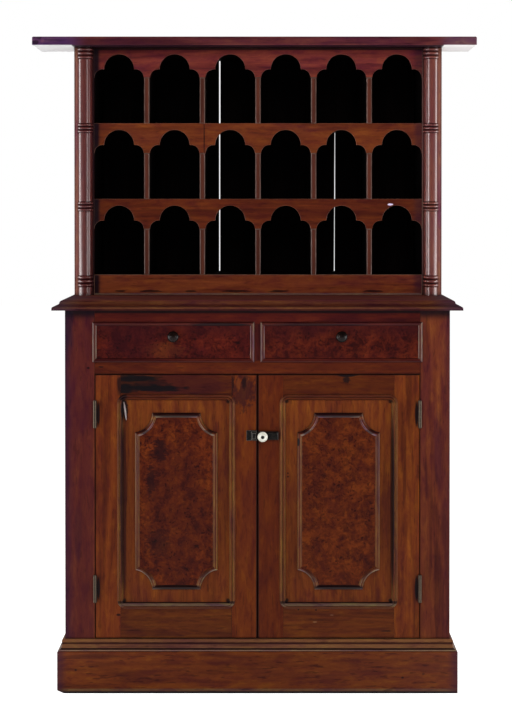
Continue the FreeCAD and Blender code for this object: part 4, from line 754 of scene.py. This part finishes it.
LEFT_BURL = burl("left_burl_panel", (0.074, 0.0105, 0.0026), 1.7, marks=[
    mark(-0.284, 0.557, 0.013, 0.050, EYE_BROWN, 0.85, 2.6, plane=BURL_FACE),
    mark(-0.262, 0.640, 0.024, 0.032, EYE_BROWN, 0.75, 3.0, plane=BURL_FACE),
    mark(-0.266, 0.395, 0.034, 0.044, EYE_BROWN, 0.6, 2.4, plane=BURL_FACE),
    mark(-0.220, 0.470, 0.110, 0.230, (0.048, 0.0070, 0.0036), 0.45, 0.8, plane=BURL_FACE),
])
RIGHT_BURL = burl("right_burl_panel", (0.075, 0.0119, 0.0028), 5.9, contrast=1.2)
# painted shade across the top of the drawer fronts, under the counter
drawer_top_shade = [("Z", 0.930, 0.970, (0.032, 0.0036, 0.0040), 0.6)]
LEFT_BURL_FRONT = burl("left_drawer_burl", (0.050, 0.0045, 0.0028), 9.4, washes=drawer_top_shade, marks=[
    mark(-0.250, 0.908, 0.060, 0.024, (0.105, 0.0220, 0.0060), 0.55, 2.2, plane=DRAWER_FACE),
    mark(-0.330, 0.930, 0.085, 0.050, (0.034, 0.0030, 0.0040), 0.6, 1.4, plane=DRAWER_FACE),
])
RIGHT_BURL_FRONT = burl("right_drawer_burl", (0.051, 0.0055, 0.0027), 12.2, washes=drawer_top_shade)
# the sliver's pale colour: raw wood, lightened as a painted highlight
SPLINTER = cedar("splintered_edge", (0.420, 0.3500, 0.3000), "Z", 40.0, cloudy=0.2, dirt_and_shade=0.3)

FINISHES = {
    "plinth_boards": PLINTH, "plinth_moulding": PLINTH_MOULD, "case_sides": SIDE, "front_stiles": STILE,
    "top_rail": TOP_RAIL, "drawer_rail": DRAWER_RAIL, "drawer_divider": DIVIDER_POST,
    "drawer_runners": DRAWER_WOOD, "cupboard_floor": SHELF_WOOD, "cupboard_shelf": SHELF_WOOD,
    "shelf_cleats": DRAWER_WOOD, "case_back_boards": BACK_WOOD, "door_stops": SHELF_WOOD,
    "counter_top": COUNTER, "hutch_sides": SIDE, "hutch_posts": POST, "turned_columns": COLUMN,
    "hutch_base_rail": BASE_RAIL, "pigeonhole_shelves": INSIDE_ACROSS, "upper_valance": UPPER_VALANCE,
    "middle_valance": MIDDLE_VALANCE, "lower_valance": LOWER_VALANCE, "pigeonhole_dividers": DIVIDER,
    "pigeonhole_linings": INSIDE_UP, "hutch_back_boards": HUTCH_BACK, "cornice_board": CORNICE,
    "hinge_case_leaves": HINGE_IRON, "hinge_pins": HINGE_IRON, "latch_keeper": IRON, "inner_bolt_plate": IRON,
    "inner_bolt": IRON, "latch_case": IRON, "latch_spindle": IRON, "latch_bolt": IRON,
    "latch_knob": porcelain(),
    "left_door_stiles": LEFT_STILES, "right_door_stiles": RIGHT_STILES,
    "left_door_rails": LEFT_RAILS, "right_door_rails": RIGHT_RAILS,
    "left_door_panel": LEFT_PANEL, "right_door_panel": RIGHT_PANEL,
    "left_door_panel_moulding": LEFT_MOULDING, "right_door_panel_moulding": RIGHT_MOULDING,
    "left_door_burl_panel": LEFT_BURL, "right_door_burl_panel": RIGHT_BURL,
    "left_drawer_front": LEFT_BURL_FRONT, "right_drawer_front": RIGHT_BURL_FRONT,
}
KNOB = dark_turned_wood()
for hand in ("left", "right"):
    FINISHES[f"{hand}_door_cartouche"] = CARTOUCHE
    FINISHES[f"{hand}_door_hinge_leaves"] = HINGE_IRON
    FINISHES[f"{hand}_drawer_lip"] = LIP
    FINISHES[f"{hand}_drawer_box"] = DRAWER_WOOD
    FINISHES[f"{hand}_drawer_bottom"] = DRAWER_WOOD
    FINISHES[f"{hand}_drawer_knob"] = KNOB

# arris widths of the boards whose edges are worn and carry a painted highlight, or are darkened, in metres
ARRISES = {
    "plinth_boards": (0.0022, DULL_ARRIS), "front_stiles": (0.0006, DARK_ARRIS), "top_rail": (0.0005, DARK_ARRIS),
    "drawer_rail": (0.0008, DARK_ARRIS), "drawer_divider": (0.0006, DARK_ARRIS),
    "hutch_base_rail": (0.0014, ARRIS), "upper_valance": (0.0009, DULL_ARRIS),
    "middle_valance": (0.0010, ARRIS), "lower_valance": (0.0010, ARRIS),
    "pigeonhole_dividers": (0.0012, SHELF_ARRIS),
    "left_door_stiles": (0.0006, DARK_ARRIS), "right_door_stiles": (0.0006, DARK_ARRIS),
    "left_door_rails": (0.0005, DARK_ARRIS), "right_door_rails": (0.0005, DARK_ARRIS),
    "case_sides": (0.0010, DULL_ARRIS), "hutch_sides": (0.0010, DULL_ARRIS), "hutch_posts": (0.0005, DARK_ARRIS),
    "latch_case": (0.0008, IRON_EDGE), "latch_keeper": (0.0007, IRON_EDGE),
}


def finish_node(name, material):
    """Gives a piece of the frame its material and, where listed, its bevelled arrises in an edge colour: worn wood
    with a painted highlight, or a darker edge.
    """
    board = nodes[name]
    board.data.materials.clear()
    board.data.materials.append(material)
    if name in ARRISES:
        width, edge = ARRISES[name]
        board.data.materials.append(edge)
        weld = board.modifiers.new("weld", "WELD")
        weld.merge_threshold = 0.00002
        flat = board.modifiers.new("flat", "DECIMATE")
        flat.decimate_type = "DISSOLVE"
        flat.angle_limit = math.radians(1)
        arris = board.modifiers.new("arris", "BEVEL")
        arris.width, arris.segments, arris.material = width, 2, 1
        arris.limit_method, arris.angle_limit = "ANGLE", math.radians(32)
        even = board.modifiers.new("even", "WEIGHTED_NORMAL")
        even.keep_sharp = False


for node_name, finish in FINISHES.items():
    finish_node(node_name, finish)


# Small fittings: screws, nails, cover strips and a splinter

# depth of the heads, radii of the screws, the planes they sit on and sizes of the strips, in metres
HEAD_DEPTH = 0.0008
LATCH_SCREW, PLATE_SCREW = 0.0024, 0.0021
LATCH_FACE, KEEPER_FACE, BOLT_PLATE_FACE = -0.2140, -0.2050, -0.1780
STRIP_WIDTH, STRIP_THICKNESS, STRIP_MIDDLE = 0.032, 0.0034, 0.2365


def put_in_scene(name, data):
    """A new object in the scene."""
    made = bpy.data.objects.new(name, data)
    bpy.context.scene.collection.objects.link(made)
    return made


def mesh_object(name, shape, material):
    """Turns a finished bmesh into an object of one material."""
    mesh = bpy.data.meshes.new(name)
    shape.to_mesh(mesh)
    shape.free()
    mesh.materials.append(material)
    return put_in_scene(name, mesh)


def fit_piece(name, shape, material, body):
    """Turns a finished bmesh into a piece that rides on a body."""
    bmesh.ops.recalc_face_normals(shape, faces=shape.faces)
    piece = mesh_object(name, shape, material)
    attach(piece, body)


def stood_out(place, to_front=True, turn=0.0):
    """Stands a shape that was made upright out of a front, or out of a back."""
    upright = Matrix.Rotation(math.radians(90 if to_front else -90), 4, "X")
    return Matrix.Translation(place) @ upright @ Matrix.Rotation(math.radians(turn), 4, "Z")


def screw_head(name, place, radius, turn, body, to_front=True):
    """A round-headed screw with its slot turned as it was left."""
    shape = bmesh.new()
    bmesh.ops.create_cone(shape, cap_ends=True, segments=28, radius1=radius, radius2=radius, depth=HEAD_DEPTH)
    for side in (-1, 1):
        everything = shape.verts[:] + shape.edges[:] + shape.faces[:]
        bmesh.ops.bisect_plane(shape, geom=everything, plane_co=(side * radius * 0.15, 0, 0), plane_no=(1, 0, 0))
    halves = [
        face for face in shape.faces
        if face.normal.z > 0.9 and abs(face.calc_center_median().x) > radius * 0.2
    ]
    risen = bmesh.ops.extrude_face_region(shape, geom=halves)["geom"]
    top = [vert for vert in risen if isinstance(vert, bmesh.types.BMVert)]
    bmesh.ops.translate(shape, verts=top, vec=(0, 0, radius * 0.36))
    crown = [edge for edge in shape.edges if all(vert in top for vert in edge.verts)]
    bmesh.ops.bevel(shape, geom=crown, offset=radius * 0.2, segments=2, profile=0.5, affect="EDGES", material=-1)
    bmesh.ops.transform(shape, matrix=stood_out(place, to_front, turn), verts=shape.verts)
    fit_piece(name, shape, IRON, body)


def nail_heads(name, places, body):
    """Rose-headed nails in the back boards, each with its hammered facets."""
    shape = bmesh.new()
    for number, place in enumerate(places):
        turned = stood_out(place, to_front=False, turn=37.0 * number)
        head = bmesh.ops.create_cone(
            shape, cap_ends=True, segments=8, radius1=0.0034, radius2=0.0030, depth=HEAD_DEPTH, matrix=turned
        )["verts"]
        outer = max(vert.co.y for vert in head) - 1e-5
        crown = [face for face in shape.faces if all(vert in head and vert.co.y > outer for vert in face.verts)]
        bmesh.ops.poke(shape, faces=crown, offset=0.0009)
    fit_piece(name, shape, IRON, body)


def cover_strip(name, middle, bottom, top):
    """A thin strip nailed over or beside a seam of the back, its back edges planed off."""
    shape = bmesh.new()
    size = Matrix.Diagonal((STRIP_WIDTH, STRIP_THICKNESS, top - bottom, 1))
    place = Matrix.Translation((middle, STRIP_MIDDLE, (bottom + top) / 2))
    bmesh.ops.create_cube(shape, size=1.0, matrix=place @ size)
    edges = [edge for edge in shape.edges if all(vert.co.y > STRIP_MIDDLE for vert in edge.verts)]
    bmesh.ops.bevel(shape, geom=edges, offset=0.0012, segments=2, profile=0.5, affect="EDGES", material=-1)
    fit_piece(name, shape, BACK_WOOD, "case")


def splinter(name, foot, tip, body):
    """A sliver that has lifted from the edge of a moulding, twisted and drawn out to a point."""
    shape = bmesh.new()
    bmesh.ops.create_circle(shape, cap_ends=True, segments=6, radius=0.0010)
    run = Vector(tip) - Vector(foot)
    end = shape.faces[:]
    swells = (1.9, 1.35, 1.05, 0.92, 0.7, 0.3)
    for swell in swells:
        risen = bmesh.ops.extrude_face_region(shape, geom=end)["geom"]
        end = [part for part in risen if isinstance(part, bmesh.types.BMFace)]
        ring = [part for part in risen if isinstance(part, bmesh.types.BMVert)]
        bmesh.ops.translate(shape, verts=ring, vec=(0, 0, run.length / len(swells)))
        middle = sum((vert.co for vert in ring), Vector()) / len(ring)
        bmesh.ops.scale(shape, verts=ring, vec=(swell, swell, 1), space=Matrix.Translation(-middle))
        bmesh.ops.rotate(shape, verts=ring, cent=middle, matrix=Matrix.Rotation(0.12, 3, "Z"))
    bmesh.ops.holes_fill(shape, edges=shape.edges)
    laid = Matrix.Translation(foot) @ run.to_track_quat("Z", "Y").to_matrix().to_4x4()
    bmesh.ops.transform(shape, matrix=laid, verts=shape.verts)
    fit_piece(name, shape, SPLINTER, body)


screw_head("latch_screw_inner", (0.0350, LATCH_FACE, LATCH_Z), LATCH_SCREW, 20, "right_door")
screw_head("latch_screw_outer", (0.0495, LATCH_FACE, LATCH_Z), LATCH_SCREW, 75, "right_door")
screw_head("keeper_screw_upper", (-0.0225, KEEPER_FACE, 0.6895), LATCH_SCREW, 10, "left_door")
screw_head("keeper_screw_lower", (-0.0225, KEEPER_FACE, 0.6745), LATCH_SCREW, 60, "left_door")
for number, (x, z) in enumerate(((-0.0450, 0.776), (-0.0250, 0.776), (-0.0450, 0.836), (-0.0250, 0.836))):
    place, turn = (x, BOLT_PLATE_FACE, z), 25 + 40 * number
    screw_head(f"bolt_plate_screw_{number + 1}", place, PLATE_SCREW, turn, "left_door", to_front=False)
nail_heads("rack_back_nails", [
    (x, BACK, z) for z in (1.092, 1.304, 1.516, 1.728)
    for x in (-0.490, -0.300, -0.135, -0.095, 0.060, 0.205, 0.245, 0.490)
], "case")
nail_heads("case_back_nails", [
    (x, BACK, z) for z in (0.125, 0.460, 1.005)
    for x in (-0.480, -0.360, -0.240, -0.120, 0.0, 0.120, 0.240, 0.360, 0.480)
], "case")
cover_strip("left_seam_strip", -0.0982, 1.060, 1.520)
cover_strip("right_seam_strip", 0.2418, 1.060, 1.300)
cover_strip("upper_seam_strip", 0.225, 1.528, 1.722)
splinter("moulding_splinter", (-0.3560, -0.1960, 0.7705), (-0.3495, -0.1955, 0.7215), "left_door")


# Floor, light and camera

def make_floor():
    """A pale floor that is white to the eye and in the polish."""
    material = bpy.data.materials.new("pale_floor")
    tree = empty_tree(material)
    lit = add(tree, "ShaderNodeBsdfDiffuse", {"Color": (0.8, 0.8, 0.8, 1)})
    ray = add(tree, "ShaderNodeLightPath").outputs
    through = calc(tree, "MAXIMUM", ray["Is Glossy Ray"], ray["Is Transmission Ray"])
    shown = calc(tree, "MAXIMUM", ray["Is Camera Ray"], through)
    white = add(tree, "ShaderNodeEmission", {"Color": (1, 1, 1, 1), "Strength": calc(tree, "MULTIPLY", shown, 0.8)})
    both = add(tree, "ShaderNodeAddShader", {0: lit.outputs[0], 1: white.outputs[0]})
    join(tree, add(tree, "ShaderNodeOutputMaterial").inputs[0], both.outputs[0])
    shape = bmesh.new()
    bmesh.ops.create_grid(shape, x_segments=1, y_segments=1, size=14)
    floor = mesh_object("studio_floor", shape, material)


def make_world():
    """A white studio behind the cabinet, seen by the eye and in its polish, and a dim room in front of it."""
    world = bpy.data.worlds.new("white_studio")
    bpy.context.scene.world = world
    tree = empty_tree(world)
    ray = add(tree, "ShaderNodeLightPath").outputs
    y, z = axes(tree, add(tree, "ShaderNodeTexCoord").outputs["Generated"])[1:]
    studio = calc(tree, "MULTIPLY", spread(tree, y, -0.5, 0.1, 0.08, 1.0), spread(tree, z, 0.25, 0.65, 1.0, 0.06))
    shown = calc(tree, "MAXIMUM", ray["Is Camera Ray"], ray["Is Transmission Ray"])
    soft = tint(tree, ray["Is Glossy Ray"], (0.30, 0.30, 0.30, 1), studio)
    colour = tint(tree, shown, soft, (1, 1, 1, 1))
    back = add(tree, "ShaderNodeBackground", {"Color": colour, "Strength": 1.0})
    join(tree, add(tree, "ShaderNodeOutputWorld").inputs[0], back.outputs[0])


def softbox(name, place, aim, width, height, power, spread_angle=180, mirrored=True):
    """A flat soft lamp. One that isn't mirrored lights the wood without showing in the polish."""
    lamp = bpy.data.lights.new(name, "AREA")
    lamp.shape, lamp.size, lamp.size_y, lamp.energy = "RECTANGLE", width, height, power
    lamp.spread = math.radians(spread_angle)
    box = put_in_scene(name, lamp)
    box.location = place
    box.rotation_euler = (Vector(aim) - Vector(place)).to_track_quat("-Z", "Y").to_euler()
    box.visible_camera, box.visible_glossy = False, mirrored


make_floor()
make_world()
softbox("left_upper_panel", (-2.4, 0.17, 1.45), (-0.5, 0.0, 1.4), 0.75, 1.25, 29)
softbox("right_upper_panel", (2.4, 0.17, 1.45), (0.5, 0.0, 1.4), 0.75, 1.25, 24)
softbox("left_lower_panel", (-2.3, -0.75, 0.6), (-0.2, -0.2, 0.5), 1.0, 1.1, 28)
softbox("right_lower_panel", (2.3, -0.75, 0.6), (0.2, -0.2, 0.5), 1.0, 1.1, 28)
softbox("left_gridded_strip", (-1.9, -2.6, 1.45), (0.484, 0.0, 1.4), 0.85, 1.3, 1.25, spread_angle=16)
softbox("right_gridded_strip", (1.9, -2.6, 1.45), (-0.484, 0.0, 1.4), 0.85, 1.3, 0.55, spread_angle=16)
softbox("high_front_panel", (0.2, -3.6, 3.2), (0.0, -0.1, 0.9), 2.4, 1.4, 67, mirrored=False)

camera_data = bpy.data.cameras.new("camera")
camera_data.lens = 69.2
camera_data.shift_x, camera_data.shift_y = -0.0174, -0.2
camera = put_in_scene("camera", camera_data)
camera.location = (0.0298, -3.910, 1.2940)
camera.rotation_euler = (math.radians(90 - 0.510), 0, 0)
bpy.context.scene.camera = camera
bpy.context.scene.view_settings.view_transform = "Standard"
